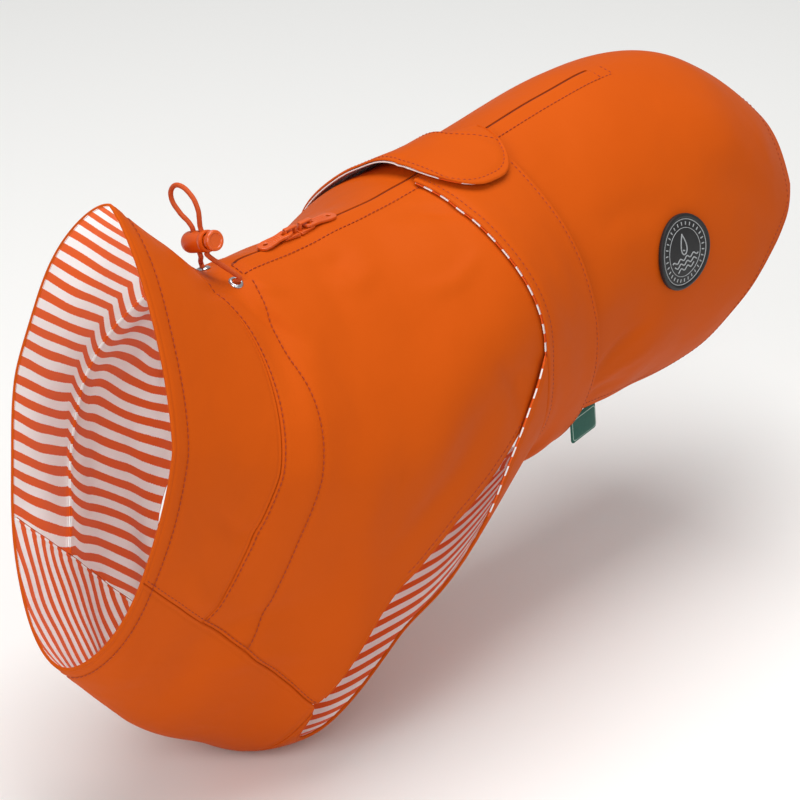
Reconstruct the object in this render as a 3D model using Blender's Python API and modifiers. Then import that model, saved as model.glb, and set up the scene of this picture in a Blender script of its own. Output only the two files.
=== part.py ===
"""Dog raincoat, filled out and empty: collar, saddle, chest, belly strap, belt with fastening tab, spine zip,
drawcord with cord lock, badge and side label.  The dog would face -X, its left (near) flank is -Y, +Z is up.
The origin is on the inside of the back, half way along, where the dog's back carries the coat."""

import math
from collections import namedtuple
from functools import lru_cache

import bmesh
import bpy
import numpy as np
from mathutils import Matrix, Vector

MM = 0.001

# ---------------------------------------------------------------- driving dimensions, in mm
SHELL_WALL = 1.2            # coated outer cloth
LINING_WALL = 1.0           # striped lining
SEAM_GAP = 0.3              # clear gap between neighbouring pieces
LINING_DROP = 0.45          # clear gap between the shell and the lining under it
BELT_DROP = 0.6             # clear gap between the saddle and the belt that lies on it
ZIP_TAPE_HALF_WIDTH = 9.0
ZIP_TAPE_WALL = 0.8
SLOT_HALF_WIDTH = 0.7       # the two edges of the spine zip stand this far from the spine
ZIP_FRONT, ZIP_REAR = 2.65, 12.0        # stations of the two ends of the slot
TAB_DROP = 0.8              # clear gap between the near wing and the tab that lies on it
PIPING = 0.9                # the belt lining shows this much in front of the belt's shell
TAB_REACH = 33.0            # the tab ends this far down the near side
WING_TOP = 6.0              # the near wing stops this far from the spine
EYELET_STATION, EYELET_ARC = 2.34, 11.5
EYELET_OUTER, EYELET_BORE, EYELET_HEIGHT = 3.9, 2.1, 1.1
EYELET_LIFT = 0.7           # the eyelet's flange stands this far off the curved cloth
CORD_RADIUS = 1.25
BADGE_STATION, BADGE_SHARE, BADGE_RADIUS = 11.75, 0.435, 20.0
LABEL_SIZE = (22.0, 1.2, 13.5)

# A station is one section of the coat, in a plane through the back line (back_x, back_z) and the keel line
# (keel_x, keel_z) under it, square to the mirror plane.  widest is the share of the height where half_width
# is reached, the three round values are the exponents of the section's superellipse quarters, and sway moves
# the middle of the section sideways.
Station = namedtuple("Station", "name back_x back_z keel_x keel_z half_width widest "
                                "near_round far_round keel_round sway")
STATIONS = [
    Station("rim",        -197,   57, -245, -172, 54, .44, 1.30, 1.60, 1.90, -4),
    Station("collar",     -166,   26, -227, -194, 60, .39, 1.45, 1.60, 1.75, -2),
    Station("neck_seam",  -137,    0, -208, -215, 69, .35, 1.55, 1.55, 1.55,  0),
    Station("casing",     -112,   -1, -189, -234, 76, .36, 1.55, 1.50, 1.60,  0),
    Station("shoulder",    -90,   -2, -157, -256, 81, .37, 1.55, 1.50, 1.70,  0),
    Station("leg_front",   -73,   -2, -130, -271, 84, .37, 1.60, 1.45, 2.10,  0),
    Station("leg_mid",     -48,   -2,  -92, -265, 87, .36, 1.70, 1.45, 2.60,  0),
    Station("leg_rear",    -22,   -2,  -40, -231, 87, .36, 1.90, 1.50, 2.50,  0),
    Station("belt_front",    3,    0,   30, -175, 84, .38, 2.05, 1.65, 2.00,  0),
    Station("belt_mid",     30,    3,   51, -175, 80, .42, 1.90, 1.75, 2.05,  0),
    Station("belt_rear",    57,    7,   72, -174, 77, .46, 1.70, 1.75, 2.00,  0),
    Station("loin",        105,   13,  110, -172, 77, .48, 1.70, 1.75, 2.00,  0),
    Station("zip_end",     147,   15,  144, -170, 78, .50, 1.80, 1.85, 2.00,  0),
    Station("rump",        200,    9,  175, -168, 78, .53, 1.85, 1.90, 2.00,  0),
    Station("croup",       240,  -10,  200, -161, 75, .57, 1.88, 1.90, 2.00,  0),
    Station("hem",         272,  -35,  222, -148, 70, .62, 1.85, 1.90, 2.00,  0),
]

# Cut lines on each half section, as a share of the way round from the back line to the keel: the saddle and
# rear panel end at upper, the chest and belly pieces start at lower, and the leg hole lies between the two.
Cut = namedtuple("Cut", "station upper lower")
CUTS = [
    Cut(0.00, .695, .695), Cut(1.00, .697, .697), Cut(2.00, .708, .708), Cut(3.00, .727, .727),
    Cut(4.00, .765, .765), Cut(4.90, .785, .785), Cut(5.00, .735, .840), Cut(5.10, .665, .868),
    Cut(5.25, .615, .882), Cut(5.50, .575, .886), Cut(6.00, .545, .884), Cut(6.50, .528, .872),
    Cut(7.00, .526, .858), Cut(7.15, .528, .810), Cut(7.30, .532, .715), Cut(7.45, .536, .615),
    Cut(7.60, .540, .556), Cut(8.00, .540, .550), Cut(9.00, .560, .572), Cut(9.999, .585, .597),
    Cut(10.001, .715, .727), Cut(11.0, .760, .772), Cut(12.0, .795, .810),
    Cut(12.6, .795, .810), Cut(13.0, .735, .810), Cut(13.3, .640, .810), Cut(13.6, .568, .810),
    Cut(14.0, .512, .810), Cut(14.4, .470, .810), Cut(14.7, .432, .810), Cut(15.0, .345, .810),
]
UPPER_CELLS, LEG_CELLS, LOWER_CELLS = 10, 2, 4
LEG_LINE = UPPER_CELLS                       # column on the saddle's lower edge
CHEST_LINE = UPPER_CELLS + LEG_CELLS         # column on the chest piece's edge
KEEL_LINE = CHEST_LINE + LOWER_CELLS         # column on the keel

COLLAR_ROWS = [0, .4, .8, 1.2, 1.6, 2]
FRONT_ROWS = [2, 2.3, ZIP_FRONT, 3, 3.5, 4, 4.45, 4.9]
LEG_ROWS = [4.9, 5, 5.1, 5.25, 5.5, 6, 6.5, 7, 7.15, 7.3, 7.45, 7.6, 8]
BELT_ROWS = [8, 8.5, 9, 9.5, 10]
REAR_ROWS = [10, 10.5, 11, 11.5, ZIP_REAR, 12.3, 12.6, 13, 13.3, 13.6, 14, 14.4, 14.7, 15]

# Broad soft swells and hollows of the filled-out cloth.  share is negative on the near side, along is in
# stations, around is a share of the half section, and rise is in mm.
Fold = namedtuple("Fold", "station share along around rise")
FOLDS = [
    Fold(2.5, -.18, .45, .07, -2.2), Fold(2.9, -.32, .60, .10, 2.0), Fold(2.6, .22, .50, .09, -2.0),
    Fold(3.4, -.62, .70, .09, -2.4), Fold(4.3, -.45, .80, .12, 2.2), Fold(3.8, .55, .80, .12, 1.8),
    Fold(6.9, -.42, .60, .08, -2.6), Fold(6.6, .40, .70, .10, -2.2), Fold(6.2, -.22, .80, .06, -1.6),
    Fold(10.8, -.52, .50, .07, -2.0), Fold(11.1, -.66, .60, .06, 1.8), Fold(10.9, .55, .60, .08, -1.8),
    Fold(13.0, -.22, .80, .12, 1.4), Fold(13.6, .35, .70, .12, -1.6),
]

ORANGE_CLOTH = (0.80, 0.13, 0.02, 1)
STRIPED_LINING = (0.76, 0.42, 0.32, 1)
ORANGE_RUBBER = (0.72, 0.11, 0.02, 1)
STEEL = (0.75, 0.75, 0.76, 1)
BLACK_RUBBER = (0.02, 0.02, 0.022, 1)
GREEN_WOVEN = (0.01, 0.07, 0.055, 1)


# ---------------------------------------------------------------- the coat's surface
def between(low, high, t):
    return low + (high - low) * t


def smooth(t):
    t = min(max(t, 0.0), 1.0)
    return t * t * (3 - 2 * t)


def station_values(at):
    """Station values at any place along the coat, on a smooth curve through the table's rows."""
    rows = [np.array(row[1:], float) for row in STATIONS]
    first = min(int(at), len(rows) - 2)
    t = at - first
    before = rows[first - 1] if first else 2 * rows[0] - rows[1]
    after = rows[first + 2] if first + 2 < len(rows) else 2 * rows[-1] - rows[-2]
    here, there = rows[first], rows[first + 1]
    return 0.5 * (2 * here + (there - before) * t + (2 * before - 5 * here + 4 * there - after) * t ** 2
                  + (3 * here - before - 3 * there + after) * t ** 3)


@lru_cache(maxsize=None)
def half_section(at, side):
    """Arc lengths, sideways reach and depth below the back line, from the back line round to the keel."""
    values = Station("", *station_values(at))
    back = np.array([values.back_x, 0, values.back_z])
    keel = np.array([values.keel_x, 0, values.keel_z])
    height = np.linalg.norm(keel - back)
    round_top = values.near_round if side < 0 else values.far_round
    turn = np.linspace(0, math.pi / 2, 40)
    top_y = values.half_width * np.sin(turn) ** (2 / round_top)
    top_depth = values.widest * height * (1 - np.cos(turn) ** (2 / round_top))
    low_y = values.half_width * np.cos(turn) ** (2 / values.keel_round)
    low_depth = height * (values.widest + (1 - values.widest) * np.sin(turn) ** (2 / values.keel_round))
    y = np.concatenate([top_y, low_y[1:]])
    depth = np.concatenate([top_depth, low_depth[1:]])
    arc = np.concatenate([[0], np.cumsum(np.hypot(np.diff(y), np.diff(depth)))])
    sway = values.sway * np.sin(np.pi * depth / height)
    return back, (keel - back) / height, arc, side * y + sway, depth


def half_girth(at, side):
    return half_section(at, side)[2][-1]


def bare_point(at, arc):
    """Point of the smooth outer surface; arc is the distance from the back line, negative on the near side."""
    side = -1 if arc < 0 else 1
    back, down, arcs, ys, depths = half_section(at, side)
    y = np.interp(abs(arc), arcs, ys)
    return back + down * np.interp(abs(arc), arcs, depths) + np.array([0, y, 0])


def swell(at, arc):
    side = -1 if arc < 0 else 1
    share = arc / half_girth(at, side)
    return sum(fold.rise * math.exp(-((at - fold.station) / fold.along) ** 2
                                    - ((share - fold.share) / fold.around) ** 2) for fold in FOLDS)


def outward(at, arc):
    """Unit normal of the smooth surface, pointing away from the dog."""
    step, reach = 0.04, 2.0
    last = len(STATIONS) - 1
    along = bare_point(min(at + step, last), arc) - bare_point(max(at - step, 0), arc)
    side = -1 if arc < 0 else 1
    limit = half_girth(at, side)
    low, high = arc - reach, arc + reach
    if abs(arc) > limit - reach:
        low, high = (-limit, -limit + reach) if arc < 0 else (limit - reach, limit)
    around = bare_point(at, high) - bare_point(at, low)
    normal = np.cross(along, around)
    if abs(arc) > limit - reach:
        normal[1] = 0.0
    return normal / np.linalg.norm(normal)


def cloth_point(at, arc, out):
    """Point on the coat, out mm outside its outer surface (negative is inside)."""
    return bare_point(at, arc) + outward(at, arc) * (swell(at, arc) + out)


def cut_shares(at):
    stations = [cut.station for cut in CUTS]
    return (np.interp(at, stations, [cut.upper for cut in CUTS]),
            np.interp(at, stations, [cut.lower for cut in CUTS]))


def column_arc(at, side, column):
    """Signed arc of a grid column: 0 is the zip's edge, LEG_LINE, CHEST_LINE and KEEL_LINE are the cuts."""
    girth = half_girth(at, side)
    upper, lower = (share * girth for share in cut_shares(at))
    upper -= SEAM_GAP / 2
    lower += SEAM_GAP / 2
    if column <= LEG_LINE:
        arc = between(SLOT_HALF_WIDTH, upper, column / UPPER_CELLS)
    elif column <= CHEST_LINE:
        arc = between(upper, lower, (column - LEG_LINE) / LEG_CELLS)
    else:
        arc = between(lower, girth, (column - CHEST_LINE) / LOWER_CELLS)
    return side * arc


def trimmed(rows, gap=0.006):
    """Rows of a panel whose two ends are drawn in by half a seam gap."""
    return [rows[0] + gap] + list(rows[1:-1]) + [rows[-1] - gap]


def on_panel(at, arc, out, rows=tuple(COLLAR_ROWS[:-1] + FRONT_ROWS[:-1] + LEG_ROWS[:-1] + BELT_ROWS[:-1]
                                      + REAR_ROWS)):
    """Point out mm over the flat cells of the panels, so that a thing lies evenly on them."""
    row = max(index for index in range(len(rows) - 1) if rows[index] <= at)
    share_along = (at - rows[row]) / (rows[row + 1] - rows[row])
    side = -1 if arc < 0 else 1
    found = []
    for station in (rows[row], rows[row + 1]):
        arcs = [abs(column_arc(station, side, column)) for column in range(KEEL_LINE + 1)]
        column = max([index for index in range(KEEL_LINE) if arcs[index] <= abs(arc)], default=0)
        start = arcs[column] if abs(arc) > arcs[0] else -arcs[0]
        share_round = (abs(arc) - start) / (arcs[column + 1 if abs(arc) > arcs[0] else 0] - start)
        low = cloth_point(station, side * start, out)
        high = cloth_point(station, side * arcs[column + 1 if abs(arc) > arcs[0] else 0], out)
        found.append(between(low, high, share_round))
    return between(found[0], found[1], share_along)


# ---------------------------------------------------------------- building helpers
def material(name, colour, roughness, metallic=0.0):
    made = bpy.data.materials.new(name)
    made.use_nodes = True
    shader = made.node_tree.nodes["Principled BSDF"]
    shader.inputs["Base Color"].default_value = colour
    shader.inputs["Roughness"].default_value = roughness
    shader.inputs["Metallic"].default_value = metallic
    return made


def add_object(name, data, collection, look=None):
    made = bpy.data.objects.new(name, data)
    collection.objects.link(made)
    if look:
        made.data.materials.append(look)
    return made


def cloth_wall(name, collection, look, skin, back, closed_round=False, left_out=()):
    """A closed wall between two grids of points: the skin is lofted, then drawn back to the second grid."""
    work = bmesh.new()
    place = work.verts.layers.int.new("place")
    grid = []
    for row_index, row in enumerate(skin):
        line = []
        for column_index, point in enumerate(row):
            vertex = work.verts.new(Vector(point) * MM)
            vertex[place] = row_index * len(row) + column_index
            line.append(vertex)
        grid.append(line)
    for row_index in range(len(grid) - 1):
        for column_index in range(len(grid[0]) - 1):
            if (row_index, column_index) in left_out:
                continue
            work.faces.new((grid[row_index][column_index], grid[row_index][column_index + 1],
                            grid[row_index + 1][column_index + 1], grid[row_index + 1][column_index]))
        if closed_round:
            work.faces.new((grid[row_index][-1], grid[row_index][0],
                            grid[row_index + 1][0], grid[row_index + 1][-1]))
    drawn = bmesh.ops.extrude_face_region(work, geom=work.faces[:], use_keep_orig=True)
    for vertex in drawn["geom"]:
        if isinstance(vertex, bmesh.types.BMVert):
            row_index, column_index = divmod(vertex[place], len(skin[0]))
            vertex.co = Vector(back[row_index][column_index]) * MM
    bmesh.ops.recalc_face_normals(work, faces=work.faces[:])
    mesh = bpy.data.meshes.new(name)
    work.to_mesh(mesh)
    work.free()
    mesh.shade_smooth()
    mesh.set_sharp_from_angle(angle=math.radians(50))
    return add_object(name, mesh, collection, look)


def side_columns(near, far):
    """Columns from the near side over the back to the far side, as (side, column) pairs."""
    return [(-1, column) for column in range(near, -1, -1)] + [(1, column) for column in range(far + 1)]


def keel_columns():
    """Columns from the near cut line under the keel to the far one."""
    near = [(-1, column) for column in range(CHEST_LINE, KEEL_LINE + 1)]
    return near + [(1, column) for column in range(KEEL_LINE - 1, CHEST_LINE - 1, -1)]


def panel_points(rows, columns, out):
    """Grid of cloth points; out(at, arc) is the offset from the outer surface."""
    return [[cloth_point(at, arc, out(at, arc)) for arc in (column_arc(at, *column) for column in columns)]
            for at in rows]


def panel(name, collection, look, rows, columns, outer, wall, left_out=()):
    skin = panel_points(rows, columns, outer)
    back = panel_points(rows, columns, lambda at, arc: outer(at, arc) - wall)
    return cloth_wall(name, collection, look, skin, back, left_out=left_out)


def turned(name, collection, look, profile, steps=20):
    """Solid turned round local Z from a profile of (radius, height) points in mm, run down its outer side."""
    mesh = bpy.data.meshes.new(name)
    points = [(radius * MM, 0, height * MM) for radius, height in profile]
    closed = profile[0][0] > 0
    edges = [(index, index + 1) for index in range(len(points) - 1)]
    if closed:
        edges.append((len(points) - 1, 0))
    mesh.from_pydata(points, edges, [])
    made = add_object(name, mesh, collection, look)
    screw = made.modifiers.new("Turn", "SCREW")
    screw.steps = screw.render_steps = steps
    screw.use_merge_vertices = True
    screw.merge_threshold = 0.00001
    screw.use_smooth_shade = True
    return made


def block(name, collection, look, size, centre):
    """Box of a size in mm round a centre in mm, its scale kept in the mesh."""
    work = bmesh.new()
    bmesh.ops.create_cube(work, size=1.0)
    bmesh.ops.scale(work, vec=Vector(size) * MM, verts=work.verts)
    bmesh.ops.translate(work, vec=Vector(centre) * MM, verts=work.verts)
    mesh = bpy.data.meshes.new(name)
    work.to_mesh(mesh)
    work.free()
    return add_object(name, mesh, collection, look)


def rod(name, collection, radius, length, matrix, sides=16):
    """Cylinder along local Z, centred, placed by a matrix."""
    work = bmesh.new()
    bmesh.ops.create_cone(work, cap_ends=True, segments=sides, radius1=radius * MM, radius2=radius * MM,
                          depth=length * MM)
    mesh = bpy.data.meshes.new(name)
    work.to_mesh(mesh)
    work.free()
    made = add_object(name, mesh, collection)
    made.matrix_world = matrix
    return made


def combine(target, other, operation):
    """Boolean of a hidden cutter or filler on a part."""
    other.hide_render = True
    other.display_type = "WIRE"
    step = target.modifiers.new(operation.title(), "BOOLEAN")
    step.operation = operation
    step.solver = "EXACT"
    step.object = other


def frame_at(origin, z_axis, x_hint):
    """Placement matrix from an origin in mm, its Z axis and a direction near its X axis."""
    z_axis = Vector(z_axis).normalized()
    y_axis = z_axis.cross(Vector(x_hint)).normalized()
    x_axis = y_axis.cross(z_axis)
    turn = Matrix((x_axis, y_axis, z_axis)).transposed().to_4x4()
    return Matrix.Translation(Vector(origin) * MM) @ turn


# ---------------------------------------------------------------- outer cloth
def shell_out(at, arc):
    return 0.0


def zip_cells(rows, columns):
    """Cells of the slot between the two edges of the zip."""
    middle = columns.index((-1, 0))
    return {(row, middle) for row in range(len(rows) - 1)
            if rows[row] >= ZIP_FRONT - 0.01 and rows[row + 1] <= ZIP_REAR + 0.01}


def belly_out(at, arc):
    """The belly piece rises from the coat's surface to the belt's, which it is sewn to."""
    return (BELT_DROP + LINING_WALL + LINING_DROP + SHELL_WALL) * smooth((at - 7.0) / 1.0)


def belt_lining_out(at, arc):
    return BELT_DROP + LINING_WALL


def belt_out(at, arc):
    return belt_lining_out(at, arc) + LINING_DROP + SHELL_WALL


def far_wing_lift(at, arc):
    """The far wing climbs over the near wing's end, and its front edge stands off the back."""
    climb = (belt_out(at, arc) + TAB_DROP) * smooth((38 - arc) / 28)
    front = 1 - smooth((at - 8.0) / 1.3)
    gape = 3.0 * front * math.exp(-((arc - 32) / 26) ** 2)
    return climb + gape


def add_outer_cloth(parts, cutters, cloth):
    panel("collar", parts, cloth, [0] + trimmed(COLLAR_ROWS)[1:], side_columns(LEG_LINE, LEG_LINE),
          shell_out, SHELL_WALL)
    rows = trimmed(FRONT_ROWS + LEG_ROWS[1:] + BELT_ROWS[1:])
    columns = side_columns(LEG_LINE, LEG_LINE)
    saddle = panel("saddle", parts, cloth, rows, columns, shell_out, SHELL_WALL,
                   left_out=zip_cells(rows, columns))
    for side in (-1, 1):
        point = on_panel(EYELET_STATION, side * EYELET_ARC, 0)
        normal = outward(EYELET_STATION, side * EYELET_ARC)
        hole = rod(f"eyelet_hole_{side}", cutters, EYELET_BORE, 8, frame_at(point, normal, (1, 0, 0)), 12)
        combine(saddle, hole, "DIFFERENCE")
    rows = trimmed(REAR_ROWS[:-1] + [REAR_ROWS[-1] + 0.006])
    panel("rear_panel", parts, cloth, rows, columns, shell_out, SHELL_WALL, left_out=zip_cells(rows, columns))
    chest_rows = COLLAR_ROWS + FRONT_ROWS[1:]
    panel("chest_panel", parts, cloth, [0] + trimmed(chest_rows)[1:], keel_columns(), shell_out, SHELL_WALL)
    panel("belly_panel", parts, cloth, trimmed(LEG_ROWS), keel_columns(), belly_out, SHELL_WALL)


def wing_columns(side, top):
    """Columns of one belt wing, from its top column round to the keel."""
    return [(side, column) for column in range(top, KEEL_LINE + 1)]


def near_wing(name, collection, look, rows, out, wall):
    columns = wing_columns(-1, 0)

    def points(offset):
        grid = []
        for at in rows:
            arcs = [column_arc(at, *column) for column in columns]
            arcs[0] = -WING_TOP
            arcs[-1] += SEAM_GAP / 2
            grid.append([cloth_point(at, arc, out(at, arc) - offset) for arc in arcs])
        return grid
    return cloth_wall(name, collection, look, points(0), points(wall))


def tab_reach(share):
    """How far the tab reaches down the near side, at a share of its width: its end is a rounded corner."""
    return TAB_REACH * (1 - abs(2 * share - 1) ** 3) ** (1 / 2.2)


def far_wing(name, collection, look, out, wall, front_shares):
    """The far wing runs from the keel up the far flank, narrows over the back and ends in the rounded tab."""
    shares = front_shares + [.06, .14, .25, .5, .75, .86, .94, 1]
    flank = wing_columns(1, 1)[::-1]
    tab_steps = [0, .3, .6, 1]

    def points(offset):
        grid = []
        for share in shares:
            line = []
            for side, column in flank:
                narrow = smooth((5 - column) / 3)
                at = between(8.006 + 0.12 * narrow, 9.994 - 0.62 * narrow, share)
                arc = column_arc(at, side, column)
                if column == KEEL_LINE:
                    arc -= SEAM_GAP / 2
                line.append(on_panel(at, arc, out(at, arc) + far_wing_lift(at, arc) - offset))
            for step in tab_steps:
                widen = smooth(step)
                at = between(8.126, 9.374 + 0.35 * widen, share)
                arc = between(6.0, -tab_reach(share), step)
                if abs(arc) < 0.05:
                    arc = -0.05
                line.append(on_panel(at, arc, out(at, arc) + far_wing_lift(at, 0) - offset))
            grid.append(line)
        return grid
    return cloth_wall(name, collection, look, points(0), points(wall))


def add_belt(parts, cloth, lining):
    shell_rows = [8.006 + PIPING / 27] + BELT_ROWS[1:-1] + [9.994]
    lining_rows = [8.006] + shell_rows
    near_wing("belt_near", parts, cloth, shell_rows, belt_out, SHELL_WALL)
    near_wing("belt_near_lining", parts, lining, lining_rows, belt_lining_out, LINING_WALL)
    far_wing("belt_far", parts, cloth, belt_out, SHELL_WALL, [PIPING / 54])
    far_wing("belt_far_lining", parts, lining, belt_lining_out, LINING_WALL, [0, PIPING / 54])


# ---------------------------------------------------------------- lining
def lining_out(at, arc):
    """The lining lies close under the shell, and dips under the zip tape along the spine."""
    under_zip = smooth((at - 1.9) / 0.35) * smooth((12.7 - at) / 0.35)
    dip = (ZIP_TAPE_WALL + 0.9) * under_zip if abs(arc) < 30 else 0.0
    return -SHELL_WALL - LINING_DROP - dip


def add_linings(parts, lining):
    both = side_columns(LEG_LINE, LEG_LINE)
    panel("collar_lining", parts, lining, [0.02] + trimmed(COLLAR_ROWS)[1:], both, lining_out, LINING_WALL)
    rows = FRONT_ROWS + LEG_ROWS[1:] + BELT_ROWS[1:]
    panel("saddle_lining", parts, lining, trimmed(rows), both, lining_out, LINING_WALL)
    panel("rear_lining", parts, lining, trimmed(REAR_ROWS[:-1] + [REAR_ROWS[-1] + 0.006]), both, lining_out,
          LINING_WALL)
    chest_rows = COLLAR_ROWS + FRONT_ROWS[1:]
    panel("chest_lining", parts, lining, [0.02] + trimmed(chest_rows)[1:], keel_columns(), lining_out,
          LINING_WALL)
    panel("belly_lining", parts, lining, trimmed(LEG_ROWS), keel_columns(),
          lambda at, arc: belly_out(at, arc) + lining_out(at, 99), LINING_WALL)


# ---------------------------------------------------------------- zip
def add_zip(parts, cutters, cloth, rubber):
    rows = [row for row in FRONT_ROWS + LEG_ROWS[1:] + BELT_ROWS[1:] + REAR_ROWS[1:] if 2.3 <= row <= 12.3]
    arcs = [-ZIP_TAPE_HALF_WIDTH, -SLOT_HALF_WIDTH, SLOT_HALF_WIDTH, ZIP_TAPE_HALF_WIDTH]
    top = -SHELL_WALL - 0.35
    skin = [[on_panel(at, arc, top) for arc in arcs] for at in rows]
    back = [[on_panel(at, arc, top - ZIP_TAPE_WALL) for arc in arcs] for at in rows]
    cloth_wall("zip_tape", parts, cloth, skin, back)
    for name, centre_x, heading in (("front", -80.2, -1), ("rear", -69.8, 1)):
        add_slider(name, parts, cutters, rubber, centre_x, heading)


def back_height(x):
    """Height of the cloth on the back line at a place along the zip."""
    stations = np.linspace(ZIP_FRONT, 8, 60)
    points = [on_panel(at, SLOT_HALF_WIDTH, 0) for at in stations]
    return float(np.interp(x, [point[0] for point in points], [point[2] for point in points]))


def add_slider(name, parts, cutters, rubber, centre_x, heading):
    """Zip slider with a bridge, and the pull tab that hangs on the bridge and lies along the zip."""
    length, width, plate = 9.6, 7.0, 1.5
    leg, bridge_width, inner, bar = 1.2, 2.2, 3.0, 1.1
    floor = back_height(centre_x) + 0.45
    slider = block(f"slider_{name}", parts, rubber, (length, width, plate), (centre_x, 0, floor + plate / 2))
    top = floor + plate
    pieces = {
        "stem": ((length - 2, 0.8, 2.0), (centre_x, 0, floor - 0.6)),
        "front_leg": ((leg, bridge_width, inner + bar), (centre_x - 3.4, 0, top + (inner + bar) / 2 - 0.2)),
        "rear_leg": ((leg, bridge_width, inner + bar), (centre_x + 3.4, 0, top + (inner + bar) / 2 - 0.2)),
        "bridge": ((8.0, bridge_width, bar), (centre_x, 0, top + inner + bar / 2)),
    }
    for piece, (size, centre) in pieces.items():
        combine(slider, block(f"{name}_{piece}", cutters, None, size, centre), "UNION")
    add_pull(name, parts, rubber, (centre_x + heading * 1.0, 0, top + 1.45), heading)


def add_pull(name, parts, rubber, axis_point, heading):
    """Flat pull tab: a window for the bridge at the hinge end and a hole near the rounded tip."""
    half_width, tip, root, droop = 3.25, 17.5, -0.8, math.radians(5)
    window = ((0.8, -1.5), (0.8, 1.5), (5.8, 1.5), (5.8, -1.5))
    hole_centre, hole_radius, corner = 16.4, 1.5, 8
    tip_arc = [(tip + half_width * math.cos(angle), half_width * math.sin(angle))
               for angle in np.linspace(-math.pi / 2, math.pi / 2, corner)]
    outline = [(root, -half_width)] + tip_arc + [(root, half_width)]
    hole = [(hole_centre + hole_radius * math.cos(angle), hole_radius * math.sin(angle))
            for angle in np.linspace(0, 2 * math.pi, 13)[:-1]]
    curve = bpy.data.curves.new(f"pull_{name}", "CURVE")
    curve.dimensions = "2D"
    curve.fill_mode = "BOTH"
    curve.extrude = 0.8 * MM
    for points in (outline, window, hole):
        spline = curve.splines.new("POLY")
        spline.points.add(len(points) - 1)
        spline.use_cyclic_u = True
        for target, (x, y) in zip(spline.points, points):
            target.co = (x * MM, y * MM, 0, 1)
    pull = add_object(f"pull_{name}", curve, parts, rubber)
    turn = Matrix.Rotation(0 if heading > 0 else math.pi, 4, "Z") @ Matrix.Rotation(droop, 4, "Y")
    pull.matrix_world = Matrix.Translation(Vector(axis_point) * MM) @ turn


# ---------------------------------------------------------------- drawcord and cord lock
TOGGLE_MIDDLE = np.array([-141.0, 0.0, 17.6])
TOGGLE_AXIS = np.array([-0.06, -0.93, 0.36]) / np.linalg.norm([-0.06, -0.93, 0.36])
TOGGLE_UP = np.cross(TOGGLE_AXIS, [1.0, 0.0, 0.0])
TOGGLE_UP = TOGGLE_UP / np.linalg.norm(TOGGLE_UP)
TOGGLE_UP = TOGGLE_UP * math.copysign(1.0, TOGGLE_UP[2])
BARREL_LENGTH, BARREL_RADIUS, BARREL_BORE = 17.0, 5.3, 3.8
FAR_STRAND, NEAR_STRAND = 7.2, 13.4        # places of the two cord holes along the barrel
MIDDLE_STRAND = (FAR_STRAND + NEAR_STRAND) / 2
PLUNGER_TRAVEL = 2.0


def toggle_place(along, up):
    """Point in the plane of the cord's loop: along the toggle from its closed end, and up from its axis."""
    return TOGGLE_MIDDLE + TOGGLE_AXIS * (along - MIDDLE_STRAND) + TOGGLE_UP * up


def add_toggle(parts, cutters, rubber):
    place = frame_at(toggle_place(0, 0), TOGGLE_AXIS, TOGGLE_UP)
    barrel = turned("toggle_barrel", parts, rubber, [
        (0, 1.6), (BARREL_BORE, 1.6), (BARREL_BORE, BARREL_LENGTH), (BARREL_RADIUS - 0.4, BARREL_LENGTH),
        (BARREL_RADIUS, BARREL_LENGTH - 0.5), (BARREL_RADIUS, 1.4), (BARREL_RADIUS - 1.3, 0), (0, 0)])
    barrel.matrix_world = place
    for index, along in enumerate((FAR_STRAND, NEAR_STRAND)):
        turn = Matrix.Translation((0, 0, along * MM)) @ Matrix.Rotation(math.pi / 2, 4, "Y")
        combine(barrel, rod(f"cord_hole_{index}", cutters, 1.7, 14, place @ turn, 12), "DIFFERENCE")
    head_start = BARREL_LENGTH + PLUNGER_TRAVEL + 0.3
    plunger = turned("toggle_plunger", parts, rubber, [
        (0, head_start + 3.0), (4.3, head_start + 3.0), (5.1, head_start + 2.3), (5.1, head_start + 0.4),
        (4.8, head_start), (BARREL_BORE - 0.3, head_start), (BARREL_BORE - 0.3, 4.0), (0, 4.0)])
    plunger.matrix_world = place
    slot = block("cord_slot", cutters, None, (12, 3.4, 11.6), (0, 0, 5.4 + 11.6 / 2))
    slot.matrix_world = place
    combine(plunger, slot, "DIFFERENCE")


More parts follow.
